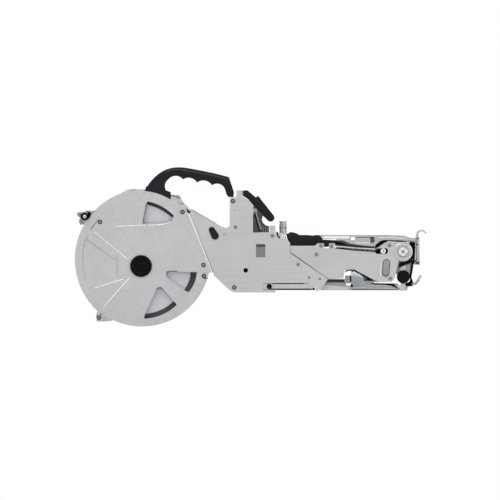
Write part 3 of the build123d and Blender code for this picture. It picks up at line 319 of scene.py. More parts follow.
# the camera and mirrors see white all round, and the rest is lit more softly
worldPlan = dict(light=0.55, tint=(0.95, 0.97, 1.0, 1))
world = bpy.data.worlds.new("studio")
bpy.context.scene.world = world
world.use_nodes = True
worldTree = world.node_tree
softLight = worldTree.nodes["Background"]
softLight.inputs["Strength"].default_value = worldPlan["light"]
softLight.inputs["Color"].default_value = worldPlan["tint"]
whiteLight = addNode(worldTree, "ShaderNodeBackground", {"Color": (*white, 1)})
rayKind = addNode(worldTree, "ShaderNodeLightPath")
cameraRay = addNode(worldTree, "ShaderNodeMath", operation="MAXIMUM")
eitherRay = addNode(worldTree, "ShaderNodeMath", operation="MAXIMUM")
blendLight = addNode(worldTree, "ShaderNodeMixShader")
wired(worldTree, [
    (rayKind, "Is Camera Ray", cameraRay, 0), (rayKind, "Is Glossy Ray", cameraRay, 1),
    (cameraRay, 0, eitherRay, 0), (rayKind, "Is Transmission Ray", eitherRay, 1),
    (eitherRay, 0, blendLight, "Fac"), (softLight, 0, blendLight, 1), (whiteLight, 0, blendLight, 2),
    (blendLight, 0, worldTree.nodes["World Output"], "Surface"),
])

floorPlan = dict(size=14.0, drop=0.001, tone=(0.9, 0.9, 0.9, 1), rough=0.9)
bpy.ops.mesh.primitive_plane_add(size=floorPlan["size"], location=(0, 0, cadBox[0][2] - floorPlan["drop"]))
floor = bpy.context.object
floor.name = "studioFloor"
floorMaterial, _, floorShader = newMaterial("paleFloor")
floorShader.inputs["Base Color"].default_value = floorPlan["tone"]
floorShader.inputs["Roughness"].default_value = floorPlan["rough"]
floor.data.materials.append(floorMaterial)
bpy.context.scene.view_settings.view_transform = "Standard"
print("camera, lamps and floor set")


# ---- shared ways of making a piece
weldDistance = 0.002 * mm
mergeDistance = 0.01 * mm
sharpFrom = math.radians(35)


def placed(name, mesh, finish, body, standsFor=()):
    mesh.materials.clear()
    mesh.materials.append(finishes[finish])
    piece = linked(name, mesh)
    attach(piece, body)
    if standsFor:
        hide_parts(*standsFor)
    return piece


def plainMesh(shape, name):
    mesh = bpy.data.meshes.new(name)
    shape.to_mesh(mesh)
    shape.free()
    return mesh


def smoothMesh(shape, name):
    bmesh.ops.remove_doubles(shape, verts=shape.verts, dist=mergeDistance)
    bmesh.ops.recalc_face_normals(shape, faces=shape.faces)
    for face in shape.faces:
        face.smooth = True
    mesh = plainMesh(shape, name)
    mesh.set_sharp_from_angle(angle=sharpFrom)
    return mesh


def weldedShape(nodeName):
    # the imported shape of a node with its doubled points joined
    shape = bmesh.new()
    shape.from_mesh(nodes[nodeName].data)
    bmesh.ops.remove_doubles(shape, verts=shape.verts, dist=weldDistance)
    return shape


def evaluatedMesh(holder, name):
    # the finished mesh of an object with modifiers; the object itself goes
    bpy.context.view_layer.update()
    result = bpy.data.meshes.new_from_object(holder.evaluated_get(bpy.context.evaluated_depsgraph_get()))
    result.name = name
    bpy.data.objects.remove(holder, do_unlink=True)
    return result


def turned(name, profile, centre, finish="blackAndShadow", body="feeder", standsFor=(), steps=40,
           upright=False):
    # a lathe piece: the profile is (radius, y) about a line across the feeder, or (radius, z) if upright
    shape = bmesh.new()
    rings = []
    for radius, along in profile:
        ring = []
        for step in range(steps if radius > 0 else 1):
            turn = 2 * math.pi * step / steps
            across, rise = radius * math.cos(turn), radius * math.sin(turn)
            if upright:
                ring.append(shape.verts.new(spot(centre[0] + across, along, centre[1] + rise)))
            else:
                ring.append(shape.verts.new(spot(centre[0] + across, centre[1] + rise, along)))
        rings.append(ring)
    for first, second in zip(rings, rings[1:]):
        for step in range(steps):
            corners = [first[step % len(first)], first[(step + 1) % len(first)],
                       second[(step + 1) % len(second)], second[step % len(second)]]
            shape.faces.new(dict.fromkeys(corners))
    return placed(name, smoothMesh(shape, name), finish, body, standsFor)


def pushedThrough(shape, outline, depths):
    # pushes a flat outline from the first depth to the second and gives its near edges
    face = shape.faces.new([shape.verts.new(spot(x, z, depths[0])) for x, z in outline])
    rim = list(face.edges)
    moved = bmesh.ops.extrude_face_region(shape, geom=[face])["geom"]
    backVerts = [part for part in moved if isinstance(part, bmesh.types.BMVert)]
    bmesh.ops.translate(shape, verts=backVerts, vec=(0, (depths[1] - depths[0]) * mm, 0))
    return rim


def slabs(name, shapes, depths, finish="blackAndShadow", body="feeder", edge=0.0):
    # flat shapes cut from sheet between two depths, near and far, with a broken near edge
    shape = bmesh.new()
    for outline in shapes:
        rim = pushedThrough(shape, outline, depths)
        if edge:
            bmesh.ops.bevel(shape, geom=rim, offset=edge * mm, segments=2, affect="EDGES", profile=0.5)
    return placed(name, smoothMesh(shape, name), finish, body)


def strip(start, end, width):
    # the outline of a straight bar between two points
    run = Vector((end[0] - start[0], end[1] - start[1])).normalized()
    side = Vector((-run.y, run.x)) * width / 2
    return [(start[0] + side.x, start[1] + side.y), (start[0] - side.x, start[1] - side.y),
            (end[0] - side.x, end[1] - side.y), (end[0] + side.x, end[1] + side.y)]


def tapered(start, end, width, tip=0.08):
    # a slim bar that runs out to a point at each end
    run = Vector((end[0] - start[0], end[1] - start[1]))
    side = Vector((-run.y, run.x)).normalized() * width / 2
    nearEnd, farEnd = Vector(start) + run * tip, Vector(start) + run * (1 - tip)
    return [tuple(start), tuple(nearEnd - side), tuple(farEnd - side), tuple(end),
            tuple(farEnd + side), tuple(nearEnd + side)]


def ribbon(width, *points):
    # the outline of a line of even width through several points
    left, right = [], []
    for index, point in enumerate(points):
        before, after = Vector(points[max(index - 1, 0)]), Vector(points[min(index + 1, len(points) - 1)])
        run = (after - before).normalized()
        side = Vector((-run.y, run.x)) * width / 2
        left.append((point[0] + side.x, point[1] + side.y))
        right.append((point[0] - side.x, point[1] - side.y))
    return right + left[::-1]


softPlan = dict(flatWithin=math.radians(1), roundFrom=math.radians(33), sharpFrom=math.radians(50))


def softened(nodeName, finish, pieceName, width, segments=2):
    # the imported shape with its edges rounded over
    shape = weldedShape(nodeName)
    bmesh.ops.dissolve_limit(shape, verts=shape.verts, edges=shape.edges,
                             angle_limit=softPlan["flatWithin"])
    holder = linked(pieceName + "Rounding", plainMesh(shape, pieceName))
    bevel = holder.modifiers.new("edgeRounding", "BEVEL")
    bevel.width = width * mm
    bevel.segments = segments
    bevel.limit_method = "ANGLE"
    bevel.angle_limit = softPlan["roundFrom"]
    bevel.use_clamp_overlap = True
    mesh = evaluatedMesh(holder, pieceName)
    for face in mesh.polygons:
        face.use_smooth = True
    mesh.set_sharp_from_angle(angle=softPlan["sharpFrom"])
    return placed(pieceName, mesh, finish, body_of(nodes[nodeName])[0], (nodeName,))


# ---- Geometry Nodes trees
def newTree(name, floats, integers=()):
    # every tree takes points, named numbers and a finish
    tree = bpy.data.node_groups.new(name, "GeometryNodeTree")
    sockets = [("Geometry", "Geometry"), ("Finish", "Material"), *((each, "Float") for each in floats),
               *((each, "Int") for each in integers)]
    for socketName, kind in sockets:
        tree.interface.new_socket(socketName, in_out="INPUT", socket_type="NodeSocket" + kind)
    tree.interface.new_socket("Geometry", in_out="OUTPUT", socket_type="NodeSocketGeometry")
    return tree, tree.nodes.new("NodeGroupInput"), tree.nodes.new("NodeGroupOutput")


def treeEnd(tree, source, given, target):
    # every tree ends in real geometry with its finish on it
    realised = tree.nodes.new("GeometryNodeRealizeInstances")
    dressed = tree.nodes.new("GeometryNodeSetMaterial")
    wired(tree, [(source, 0, realised, 0), (realised, 0, dressed, "Geometry"),
                 (given, "Finish", dressed, "Material"), (dressed, 0, target, 0)])


def grown(name, tree, values, finish, points=((0, 0, 0),)):
    # runs a tree over points and gives its plain mesh
    seedMesh = bpy.data.meshes.new(name + "Points")
    seedMesh.from_pydata([tuple(point) for point in points], [], [])
    holder = linked(name + "Points", seedMesh)
    modifier = holder.modifiers.new(name, "NODES")
    modifier.node_group = tree
    given = dict(values, Finish=finishes[finish])
    for item in tree.interface.items_tree:
        if item.in_out == "INPUT" and item.name in given:
            modifier[item.identifier] = given[item.name]
    mesh = evaluatedMesh(holder, name)
    mesh.set_sharp_from_angle(angle=sharpFrom)
    return mesh


headPlan = dict(corners=28, crownShare=0.82, merge=0.00001, anyTurn=6.28)


def buildHeadTree():
    # heads with a socket, set on points of the near side
    floats = ("Radius", "Height", "Chamfer", "Socket radius", "Socket depth")
    tree, given, out = newTree("screwHeads", floats, ("Sides", "Seed"))
    disc = addNode(tree, "GeometryNodeMeshCircle", {"Vertices": headPlan["corners"]}, fill_type="NGON")
    wall = addNode(tree, "GeometryNodeExtrudeMesh", mode="FACES")
    crown = addNode(tree, "GeometryNodeExtrudeMesh", mode="FACES")
    narrow = addNode(tree, "GeometryNodeScaleElements", {"Scale": headPlan["crownShare"]}, domain="FACE")
    foot = addNode(tree, "GeometryNodeMeshCircle", {"Vertices": headPlan["corners"]}, fill_type="NGON")
    flip = addNode(tree, "GeometryNodeFlipFaces")
    whole = addNode(tree, "GeometryNodeJoinGeometry")
    merged = addNode(tree, "GeometryNodeMergeByDistance", {"Distance": headPlan["merge"]})
    plug = addNode(tree, "GeometryNodeMeshCylinder")
    lift = addNode(tree, "ShaderNodeCombineXYZ")
    risen = addNode(tree, "ShaderNodeMath", operation="ADD")
    raised = addNode(tree, "GeometryNodeTransform")
    doubled = addNode(tree, "ShaderNodeMath", {1: 2.0}, operation="MULTIPLY")
    cut = addNode(tree, "GeometryNodeMeshBoolean", operation="DIFFERENCE", solver="EXACT")
    turnAny = addNode(tree, "FunctionNodeRandomValue", data_type="FLOAT")
    turnAny.inputs[3].default_value = headPlan["anyTurn"]
    facing = addNode(tree, "ShaderNodeCombineXYZ", {0: math.radians(90)})
    onPoints = addNode(tree, "GeometryNodeInstanceOnPoints")
    wired(tree, [
        (given, "Radius", disc, "Radius"), (given, "Radius", foot, "Radius"), (disc, 0, wall, "Mesh"),
        (given, "Height", wall, "Offset Scale"), (wall, "Mesh", crown, "Mesh"),
        (wall, "Top", crown, "Selection"), (given, "Chamfer", crown, "Offset Scale"),
        (crown, "Mesh", narrow, "Geometry"), (crown, "Top", narrow, "Selection"), (foot, 0, flip, 0),
        (narrow, 0, whole, 0), (flip, 0, whole, 0), (whole, 0, merged, "Geometry"),
        (given, "Sides", plug, "Vertices"), (given, "Socket radius", plug, "Radius"),
        (given, "Socket depth", doubled, 0), (doubled, 0, plug, "Depth"), (given, "Height", risen, 0),
        (given, "Chamfer", risen, 1), (risen, 0, lift, 2), (plug, "Mesh", raised, "Geometry"),
        (lift, 0, raised, "Translation"), (merged, 0, cut, 0), (raised, 0, cut, 1),
        (given, "Seed", turnAny, "Seed"), (turnAny, 1, facing, 1),
        (given, "Geometry", onPoints, "Points"), (cut, 0, onPoints, "Instance"),
        (facing, 0, onPoints, "Rotation"),
    ])
    treeEnd(tree, onPoints, given, out)
    return tree


def buildCoilTree():
    # a round wire wound on a straight line that stands up from the point
    tree, given, out = newTree("wireCoil", ("Turns", "Coil radius", "Wire radius", "Length"))
    helix = addNode(tree, "GeometryNodeCurveSpiral", {"Resolution": 18})
    wire = addNode(tree, "GeometryNodeCurvePrimitiveCircle", {"Resolution": 8})
    swept = addNode(tree, "GeometryNodeCurveToMesh", {"Fill Caps": True})
    onPoints = addNode(tree, "GeometryNodeInstanceOnPoints")
    wired(tree, [
        (given, "Turns", helix, "Rotations"), (given, "Coil radius", helix, "Start Radius"),
        (given, "Coil radius", helix, "End Radius"), (given, "Length", helix, "Height"),
        (given, "Wire radius", wire, "Radius"), (helix, 0, swept, "Curve"),
        (wire, 0, swept, "Profile Curve"), (given, "Geometry", onPoints, "Points"),
        (swept, 0, onPoints, "Instance"),
    ])
    treeEnd(tree, onPoints, given, out)
    return tree


def buildRidgeTree():
    # slim ridges round a circle, standing along its axis
    tree, given, out = newTree("gripRidges", ("Ring radius", "Ridge radius", "Ridge length"), ("Count",))
    ring = addNode(tree, "GeometryNodeMeshCircle")
    ridge = addNode(tree, "GeometryNodeMeshCylinder", {"Vertices": 8})
    onPoints = addNode(tree, "GeometryNodeInstanceOnPoints")
    onSeed = addNode(tree, "GeometryNodeInstanceOnPoints")
    wired(tree, [
        (given, "Count", ring, "Vertices"), (given, "Ring radius", ring, "Radius"),
        (given, "Ridge radius", ridge, "Radius"), (given, "Ridge length", ridge, "Depth"),
        (ring, 0, onPoints, "Points"), (ridge, "Mesh", onPoints, "Instance"),
        (given, "Geometry", onSeed, "Points"), (onPoints, 0, onSeed, "Instance"),
    ])
    treeEnd(tree, onSeed, given, out)
    return tree


headTree, coilTree, ridgeTree = buildHeadTree(), buildCoilTree(), buildRidgeTree()
print("Geometry Nodes trees built")


# ---- screws, studs and sockets
headSeed = 7
screwLevels = dict(plate=-9.0, neck=-10.2, door=-11.1)
plateFace = screwLevels["plate"]


def setHeads(name, head, places, level=plateFace, finish="blackAndShadow", body="feeder", standsFor=(),
             farSide=False):
    # a head at every place, towards the viewer or, mirrored, on the far side
    values = {"Radius": head["radius"] * mm, "Height": head["height"] * mm, "Chamfer": head["chamfer"] * mm,
              "Socket radius": head["socket"] * mm, "Socket depth": head["deep"] * mm,
              "Sides": head["sides"], "Seed": headSeed}
    mesh = grown(name, headTree, values, finish, [spot(x, z, level) for x, z in places])
    if farSide:
        mesh.transform(Matrix.Scale(-1, 4, (0, 1, 0)))
        mesh.flip_normals()
    return placed(name, mesh, finish, body, standsFor)


def dress(plans):
    # every plan makes one piece, the way its first key says
    makers = {"shapes": slabs, "profile": turned, "head": setHeads}
    for name, plan in plans.items():
        makers[next(iter(plan))](name, **plan)


capScrew = dict(radius=2.0, height=0.5, chamfer=0.35, socket=1.1, deep=0.7, sides=6)
flatScrew = dict(capScrew, height=0.05, chamfer=0.05, deep=0.05)
# rings of painted shadow round the heads, and painted shade at the bottom of each socket
shadowRing = dict(radius=3.4, height=0.08, chamfer=0.04, socket=1.8, deep=1.0, sides=28)
faintShadowRing = dict(shadowRing, radius=3.0)
socketShade = dict(radius=1.0, height=0.1, chamfer=0.05, socket=0.3, deep=0.1, sides=6)
socketSink = 0.2
plugDot = dict(radius=1.1, height=0.1, chamfer=0.08, socket=0.6, deep=0.12, sides=20)
footScrew = dict(plugDot, radius=1.9, socket=1.1)
railScrew = dict(plugDot, radius=1.8)
pinMark = dict(plugDot, height=0.02, chamfer=0.02, deep=0.02)

postPlaces = [(-251.5, 4.5), (-253.5, 134.0), (-249.8, 95.2), (-194.5, 82.0), (-156.0, 39.0),
              (-128.2, 54.0)]
screwPlaces = {
    "plate": postPlaces + [(-17.7, 17.9), (-18.8, 67.8), (-297.0, 21.8), (-121.5, 67.2), (-106.0, 66.6),
                           (-453.0, 102.8)],
    "neck": [(-329.2, 117.8), (-297.8, 38.2)],
    "door": [(-454.5, -40.5)],
}
farPlaces = postPlaces + [(-60.0, 46.0), (-17.7, 17.9), (-139.5, 18.8)]
faintFrom = -250.0  # from here forwards the screws cast a fainter ring
faintScrews = [place for place in screwPlaces["plate"] if faintFrom < place[0]]

setHeads("plateScrews", capScrew, screwPlaces["plate"], finish="steel", standsFor=("screws",))
setHeads("neckScrews", capScrew, screwPlaces["neck"], screwLevels["neck"], "steel")
setHeads("doorPinHead", capScrew, screwPlaces["door"], screwLevels["door"], "steel")
for row, level in screwLevels.items():
    strongScrews = [place for place in screwPlaces[row] if place not in faintScrews]
    setHeads(row + "ScrewRings", shadowRing, strongScrews, level)
    setHeads(row + "ScrewSocketShades", socketShade, screwPlaces[row], level - socketSink)
dress({
    "faintScrewRings": dict(head=faintShadowRing, places=faintScrews, finish="seam"),
    "farScrews": dict(head=capScrew, places=farPlaces, finish="steel", farSide=True),
    "farScrewRings": dict(head=shadowRing, places=farPlaces, farSide=True),
    "farNeckScrews": dict(
        head=flatScrew, places=screwPlaces["neck"], level=screwLevels["neck"], finish="steel", farSide=True),
    "farNeckRings": dict(
        head=shadowRing, places=screwPlaces["neck"], level=screwLevels["neck"], farSide=True),
    "dowelEnds": dict(
        head=plugDot, places=[(-252.0, 120.75), (-267.0, 83.25), (-281.25, 102.0), (-127.5, 3.75)],
        finish="cast"),
    "footScrews": dict(head=footScrew, places=[(-139.2, 19.35), (-123.3, 17.25)], finish="seam"),
    "railScrew": dict(head=railScrew, places=[(-132.6, 2.25)]),
})
print("screws set")


# ---- reel knob
knobPlan = {
    "centre": (-391.5, 36.75), "steps": 96,
    "profile": [(3.1, -9.3), (14.2, -9.3), (15.6, -9.7), (16.1, -10.4), (16.1, -13.0), (15.6, -13.8),
                (14.7, -14.25), (11.6, -14.3), (11.0, -14.0), (10.4, -13.4), (6.2, -13.2), (5.6, -13.5),
                (5.2, -14.0), (4.4, -14.2), (1.6, -14.2), (1.2, -13.8), (0.0, -13.7)],
    "grip": {"Ring radius": 16.2 * mm, "Ridge radius": 0.42 * mm, "Ridge length": 2.8 * mm, "Count": 54},
    "gripDepth": -11.7,
}
turned("reelKnob", knobPlan["profile"], knobPlan["centre"], "knobPlastic", "spindle", ("reel_knob",),
       knobPlan["steps"])
gripMesh = grown("reelKnobGrip", ridgeTree, knobPlan["grip"], "knobPlastic")
gripMesh.transform(Matrix.Translation(spot(*knobPlan["centre"], knobPlan["gripDepth"]))
                   @ Matrix.Rotation(math.radians(90), 4, "X"))
placed("reelKnobGrip", gripMesh, "knobPlastic", "spindle")


# ---- neck
onPlate = (-9.08, -8.95)  # near and far depth of a line on the main plates
neckPlan = dict(top=(-319.95, 114.45), foot=(-284.55, 26.55), bendShadowShift=(1.45, 0.5))
bendShadowLine = [(x + neckPlan["bendShadowShift"][0], z + neckPlan["bendShadowShift"][1])
              for x, z in (neckPlan["top"], neckPlan["foot"])]
# a painted highlight on the bend, a painted shadow line beside it, painted shade in the notch and a painted
# shadow line along the plate's top edge
dress({
    "neckBend": dict(
        shapes=[strip(neckPlan["top"], neckPlan["foot"], width=1.6)],
        depths=(-10.6, -9.0), finish="gleam", edge=0.2),
    "neckGroove": dict(shapes=[strip(*bendShadowLine, width=0.9)], depths=(-9.1, -8.95), finish="shade"),
    "neckNotch": dict(
        shapes=[[(-323.7, 122.85), (-321.75, 117.45), (-318.6, 115.35), (-317.1, 119.25), (-319.8, 119.55),
            (-321.9, 122.55)]], depths=(-10.3, -10.1)),
    "plateTopLine": dict(
        shapes=[ribbon(0.8, (-314.1, 120.3), (-282.6, 102.75))], depths=onPlate, finish="seam"),
})

# the neck sheet runs out into the disc at its rear edge, without a step
featherPlan = dict(rearEdge=spot(-336.0, 0.0).x, depth=9.05 * mm)
neckShape = weldedShape("neck_plates")
for vert in neckShape.verts:
    if vert.co.x < featherPlan["rearEdge"] and abs(vert.co.y) > featherPlan["depth"]:
        vert.co.y = math.copysign(featherPlan["depth"], vert.co.y)
bmesh.ops.recalc_face_normals(neckShape, faces=neckShape.faces)
placed("neckSheets", plainMesh(neckShape, "neckSheets"), "disc", "feeder", ("neck_plates",))
print("reel knob and neck dressed")


# ---- rounded-over parts
softened("handle", "blackPlastic", "handleGrip", width=1.6, segments=3)
softened("clamp_lever", "blackPlastic", "leverGrip", width=0.9)
softened("roller_housing", "housingPlastic", "rollerHousing", width=0.5)
softened("cylinder_head", "cast", "cylinderHead", width=0.6)
softened("oblong_cover", "cast", "oblongCover", width=0.3)
softened("exit_chute", "knobPlastic", "exitChute", width=0.4)
softened("front_latch", "guide", "latchHorn", width=0.5)
print("rounded parts made")


# ---- bearing, follower wheel and the lever's spring
sprocketCentre = (1.5, 58.05)
dress({
    "bearingRings": dict(
        profile=[(2.7, -9.0), (14.2, -9.0), (14.2, -10.0), (13.5, -10.7), (13.0, -10.8), (12.8, -10.2),
            (12.3, -10.2), (12.1, -10.8), (10.0, -10.8), (9.6, -10.1), (7.9, -9.9), (7.7, -10.9),
            (2.7, -10.9), (2.7, -9.0)],
        centre=sprocketCentre, finish="boss", standsFor=("bearing_boss",), steps=96),
    "followerTyre": dict(
        profile=[(1.6, -4.8), (9.0, -4.8), (9.7, -5.1), (9.9, -5.5), (9.9, -8.0), (9.6, -8.5), (8.6, -8.7),
            (6.4, -8.7), (6.1, -8.4), (5.6, -8.2), (3.0, -8.2), (2.7, -8.5), (1.4, -8.6), (0.0, -8.6)],
        centre=(2.0, 20.5), finish="rubber", body="follower_wheel", standsFor=("follower_wheel",), steps=80),
})
coilPlan = {"top": (-218.5, 116.0), "foot": (-212.0, 92.0), "depth": -9.7,
            "Turns": 26.0, "Coil radius": 1.45 * mm, "Wire radius": 0.28 * mm}
coilTop, coilFoot = [spot(*coilPlan[end], coilPlan["depth"]) for end in ("top", "foot")]
coilRun = coilFoot - coilTop
coilMesh = grown("leverCoil", coilTree, dict(coilPlan, Length=coilRun.length), "steel")
coilMesh.transform(Matrix.Translation(coilTop) @ coilRun.to_track_quat("Z", "Y").to_matrix().to_4x4())
placed("leverCoil", coilMesh, "steel", body_of(nodes["lever_spring"])[0], ("lever_spring",))
print("bearing, wheel and spring dressed")


# ---- creases, seams and small marks of the reel case, with painted highlights on the creases and the window lip and painted shadow lines along the door
brightCreases = [((-464.4, 90.45), (-408.6, 43.8), 1.5), ((-432.3, 95.85), (-382.5, 97.65), 1.2),
                 ((-465.15, 2.4), (-415.5, 17.7), 1.3), ((-450.6, -28.2), (-406.35, 21.6), 1.5)]
faintCreases = [((-472.05, 76.65), (-428.25, 45.3), 0.9), ((-427.5, 55.5), (-428.25, 30.75), 0.7)]
dress({
    "creaseLights": dict(
        shapes=[tapered(*crease) for crease in brightCreases],
        depths=(-9.8, -9.35), finish="gleam", edge=0.12),
    "creaseShades": dict(
        shapes=[tapered(*crease) for crease in faintCreases],
        depths=(-9.75, -9.35), finish="neck", edge=0.1),
    "windowLip": dict(
        shapes=[ribbon(1.3, (-381.0, 97.8), (-358.8, 99.0), (-345.75, 103.35))],
        depths=(-9.25, -8.95), finish="gleam", edge=0.1),
    "doorSeam": dict(
        shapes=[ribbon(1.1, (-455.1, 107.55), (-466.8, 91.95))], depths=(-10.28, -9.0), finish="seam"),
    "rimSeam": dict(
        shapes=[ribbon(0.45, (-472.05, 81.3), (-475.95, 72.75), (-477.75, 60.75), (-478.8, 48.75),
            (-478.5, 35.25), (-475.8, 19.5), (-472.05, 7.8))], depths=onPlate, finish="seam"),
    "neckFootMark": dict(shapes=[ribbon(1.2, (-297.9, 18.3), (-291.3, 18.15))], depths=onPlate),
    "rimMark": dict(
        shapes=[ribbon(0.9, (-414.9, 150.15), (-406.5, 151.2), (-398.1, 151.8))],
        depths=onPlate, finish="seam"),
    "bracketLugs": dict(
        shapes=[
            [(-487.95, 115.95), (-484.5, 117.9), (-480.9, 117.15), (-480.0, 114.75), (-482.1, 110.85),
             (-485.7, 110.55)],
            [(-484.5, 106.95), (-481.8, 106.35), (-476.4, 102.15), (-477.0, 99.15), (-482.4, 98.55),
             (-484.2, 101.85)]], depths=(-10.9, -10.1), finish="cast", edge=0.3),
    "bracketMarks": dict(
        shapes=[
            ribbon(1.0, (-474.6, 118.8), (-468.9, 119.4)),
            ribbon(0.8, (-467.1, 119.1), (-460.8, 118.65)),
            ribbon(0.8, (-466.2, 113.55), (-462.3, 118.35)),
            ribbon(0.6, (-487.65, 113.85), (-482.4, 113.55))], depths=(-10.4, -10.15), finish="shade"),
    "rollerShade": dict(
        shapes=[[(-472.2, 118.65), (-465.9, 117.15), (-467.1, 110.85), (-471.0, 106.65), (-474.0, 106.05),
            (-470.4, 111.75)]], depths=(-10.6, -10.15)),
    "windowShades": dict(
        shapes=[
            ribbon(1.0, (-383.55, 130.95), (-386.1, 116.4), (-388.5, 104.25), (-385.5, 100.35)),
            ribbon(1.0, (-353.25, 24.3), (-351.0, 29.1), (-336.0, 29.25)),
            ribbon(0.9, (-369.6, 1.35), (-364.2, 4.8), (-358.8, 2.85))],
        depths=(-9.05, -8.1), finish="shade"),
    "rearPinMark": dict(head=pinMark, places=[(-475.65, 110.7)], level=-18.98, finish="seam"),
    "tabDot": dict(head=plugDot, places=[(-451.5, -35.25)], level=-10.1, body="rim_door"),
})
print("reel case dressed")


# ---- handle and its foot, with a painted highlight along the top edge of the handle
dress({
    "handleRim": dict(
        shapes=[ribbon(1.3, (-354.6, 176.85), (-348.6, 180.45), (-339.0, 181.65), (-327.0, 180.6),
            (-309.0, 177.45), (-285.0, 172.65), (-260.4, 166.95), (-257.1, 159.15))],
        depths=(-7.25, -6.8), finish="gripEdgeHighlight", edge=0.12),
    "footBlock": dict(
        shapes=[[(-347.7, 143.4), (-341.7, 143.25), (-341.7, 136.35), (-347.1, 138.15)]],
        depths=(-8.6, 8.6), finish="cast", edge=0.3),
    # painted shade in the slot of the foot
    "footSlot": dict(shapes=[ribbon(1.8, (-342.9, 142.65), (-342.3, 136.95))], depths=(-8.75, -8.5)),
    "footRib": dict(
        shapes=[[(-338.4, 137.25), (-330.9, 136.95), (-325.8, 130.35), (-324.0, 124.65), (-331.5, 126.75),
            (-336.6, 131.85)]], depths=(-9.3, -8.9), finish="neck", edge=0.15),
    "footDot": dict(head=plugDot, places=[(-329.1, 130.35)], level=-9.3, finish="seam"),
})
print("handle dressed")


# ---- main body
onLockBar = (-7.8, -7.65)
postCentre = (-178.5, 0.0)
tensionPlace = (-178.05, 80.85)
tensionHead = dict(radius=2.9, height=0.6, chamfer=0.4, socket=0.9, deep=0.6, sides=24)
dress({
    # painted shadow in the groove and the slot of the lock bar
    "lockGroove": dict(
        shapes=[ribbon(1.2, (-195.0, 10.2), (-147.3, 10.2))], depths=onLockBar, body="lock_slide"),
    "lockSlot": dict(
        shapes=[ribbon(1.9, (-198.0, 1.95), (-132.6, 1.95))], depths=onLockBar, body="lock_slide"),
    "barRollerCap": dict(
        profile=[(3.7, -10.2), (3.7, -10.5), (3.2, -10.8), (1.5, -10.9), (1.2, -10.8), (0.0, -10.8)],
        centre=(-199.0, 6.1), finish="rubber", body="bar_roller"),
    "plateFoldMarks": dict(
        shapes=[
            ribbon(0.6, (-268.8, 85.65), (-262.2, 85.65)),
            ribbon(0.6, (-267.9, 82.65), (-263.4, 81.75))], depths=(-9.07, -8.95), finish="seam"),
    "frontSeam": dict(
        shapes=[ribbon(0.7, (-167.55, 70.95), (-167.7, 57.9), (-111.6, 17.85))],
        depths=(-9.06, -8.95), finish="shade"),
    # a black cup in the hole: painted shade
    "bodyHole": dict(
        profile=[(0.0, -8.4), (1.2, -8.4), (1.5, -8.6), (2.6, -8.6), (2.7, -9.08), (3.5, -9.08), (3.5, -8.2),
            (0.0, -8.2)], centre=(-234.45, 30.3)),
    # a dark band at the top inside the window: painted shade
    "windowTop": dict(
        shapes=[[(-218.85, 69.45), (-205.35, 69.45), (-205.35, 65.55), (-218.85, 65.55)]],
        depths=(-8.5, -7.7), finish="shade"),
    "windowPlate": dict(
        shapes=[[(-220.2, 70.65), (-204.0, 70.65), (-204.0, 49.05), (-220.2, 49.05)]],
        depths=(-7.9, -7.4), finish="crank"),
    "clipShade": dict(
        shapes=[
            [(-175.2, 86.55), (-171.6, 85.05), (-167.1, 86.25), (-166.2, 78.15), (-172.5, 78.45),
             (-173.1, 82.65)],
            ribbon(1.4, (-186.9, 82.65), (-183.0, 77.25))],
        depths=(-8.7, -7.9), finish="blackPlastic", edge=0.2),
    "postCollar": dict(
        profile=[(0.9, -8.95), (3.4, -8.95), (3.4, -9.3), (3.0, -9.6), (1.2, -9.6), (1.0, -9.2),
            (0.9, -8.95)], centre=(-127.5, 2.1), finish="bright"),
    "bracketRibs": dict(
        shapes=[ribbon(1.8, (-220.8, 114.75), (-213.6, 88.35))], depths=(-8.3, -7.75), edge=0.2),
    "bracketGleam": dict(
        shapes=[ribbon(1.1, (-217.2, 113.85), (-209.7, 91.35))],
        depths=(-8.5, -7.75), finish="crank", edge=0.2),
    "bracketHead": dict(
        shapes=[[(-223.35, 126.75), (-219.0, 125.4), (-207.9, 112.95), (-209.55, 109.65), (-210.0, 107.25),
            (-222.9, 111.75)]], depths=(-7.7, -5.7), finish="dark", edge=0.2),
    "bracketBlock": dict(
        shapes=[[(-223.05, 122.85), (-218.1, 122.85), (-216.9, 116.55), (-222.6, 116.55)]],
        depths=(-8.3, -7.5), finish="cast", edge=0.2),
    "bracketFins": dict(
        shapes=[
            ribbon(0.8, (-208.2, 95.55), (-208.5, 87.45)),
            ribbon(0.7, (-204.6, 94.95), (-204.6, 87.45)),
            ribbon(0.6, (-201.6, 94.95), (-201.3, 87.45))], depths=(-8.2, -7.7), finish="crank"),
    "tensionClip": dict(
        shapes=[ribbon(2.3, (-187.5, 88.05), (-186.6, 82.65), (-183.15, 78.45))],
        depths=(-9.4, -8.95), edge=0.1),
    "tensionScrew": dict(head=tensionHead, places=[tensionPlace], finish="gleam"),
    "tensionSocket": dict(head=socketShade, places=[tensionPlace], level=-9.5),
    "postCap": dict(
        profile=[(0.0, 103.95), (5.6, 103.95), (6.0, 103.6), (6.0, 102.9), (5.5, 102.6), (4.6, 102.5),
            (0.0, 102.4)], centre=postCentre, finish="steel", body="thumb_screw", steps=48, upright=True),
    "postBand": dict(
        profile=[(5.45, 92.2), (5.75, 92.4), (5.75, 95.4), (5.45, 95.6), (5.45, 92.2)],
        centre=postCentre, finish="cast", body="thumb_screw", steps=48, upright=True),
})
print("main body dressed")


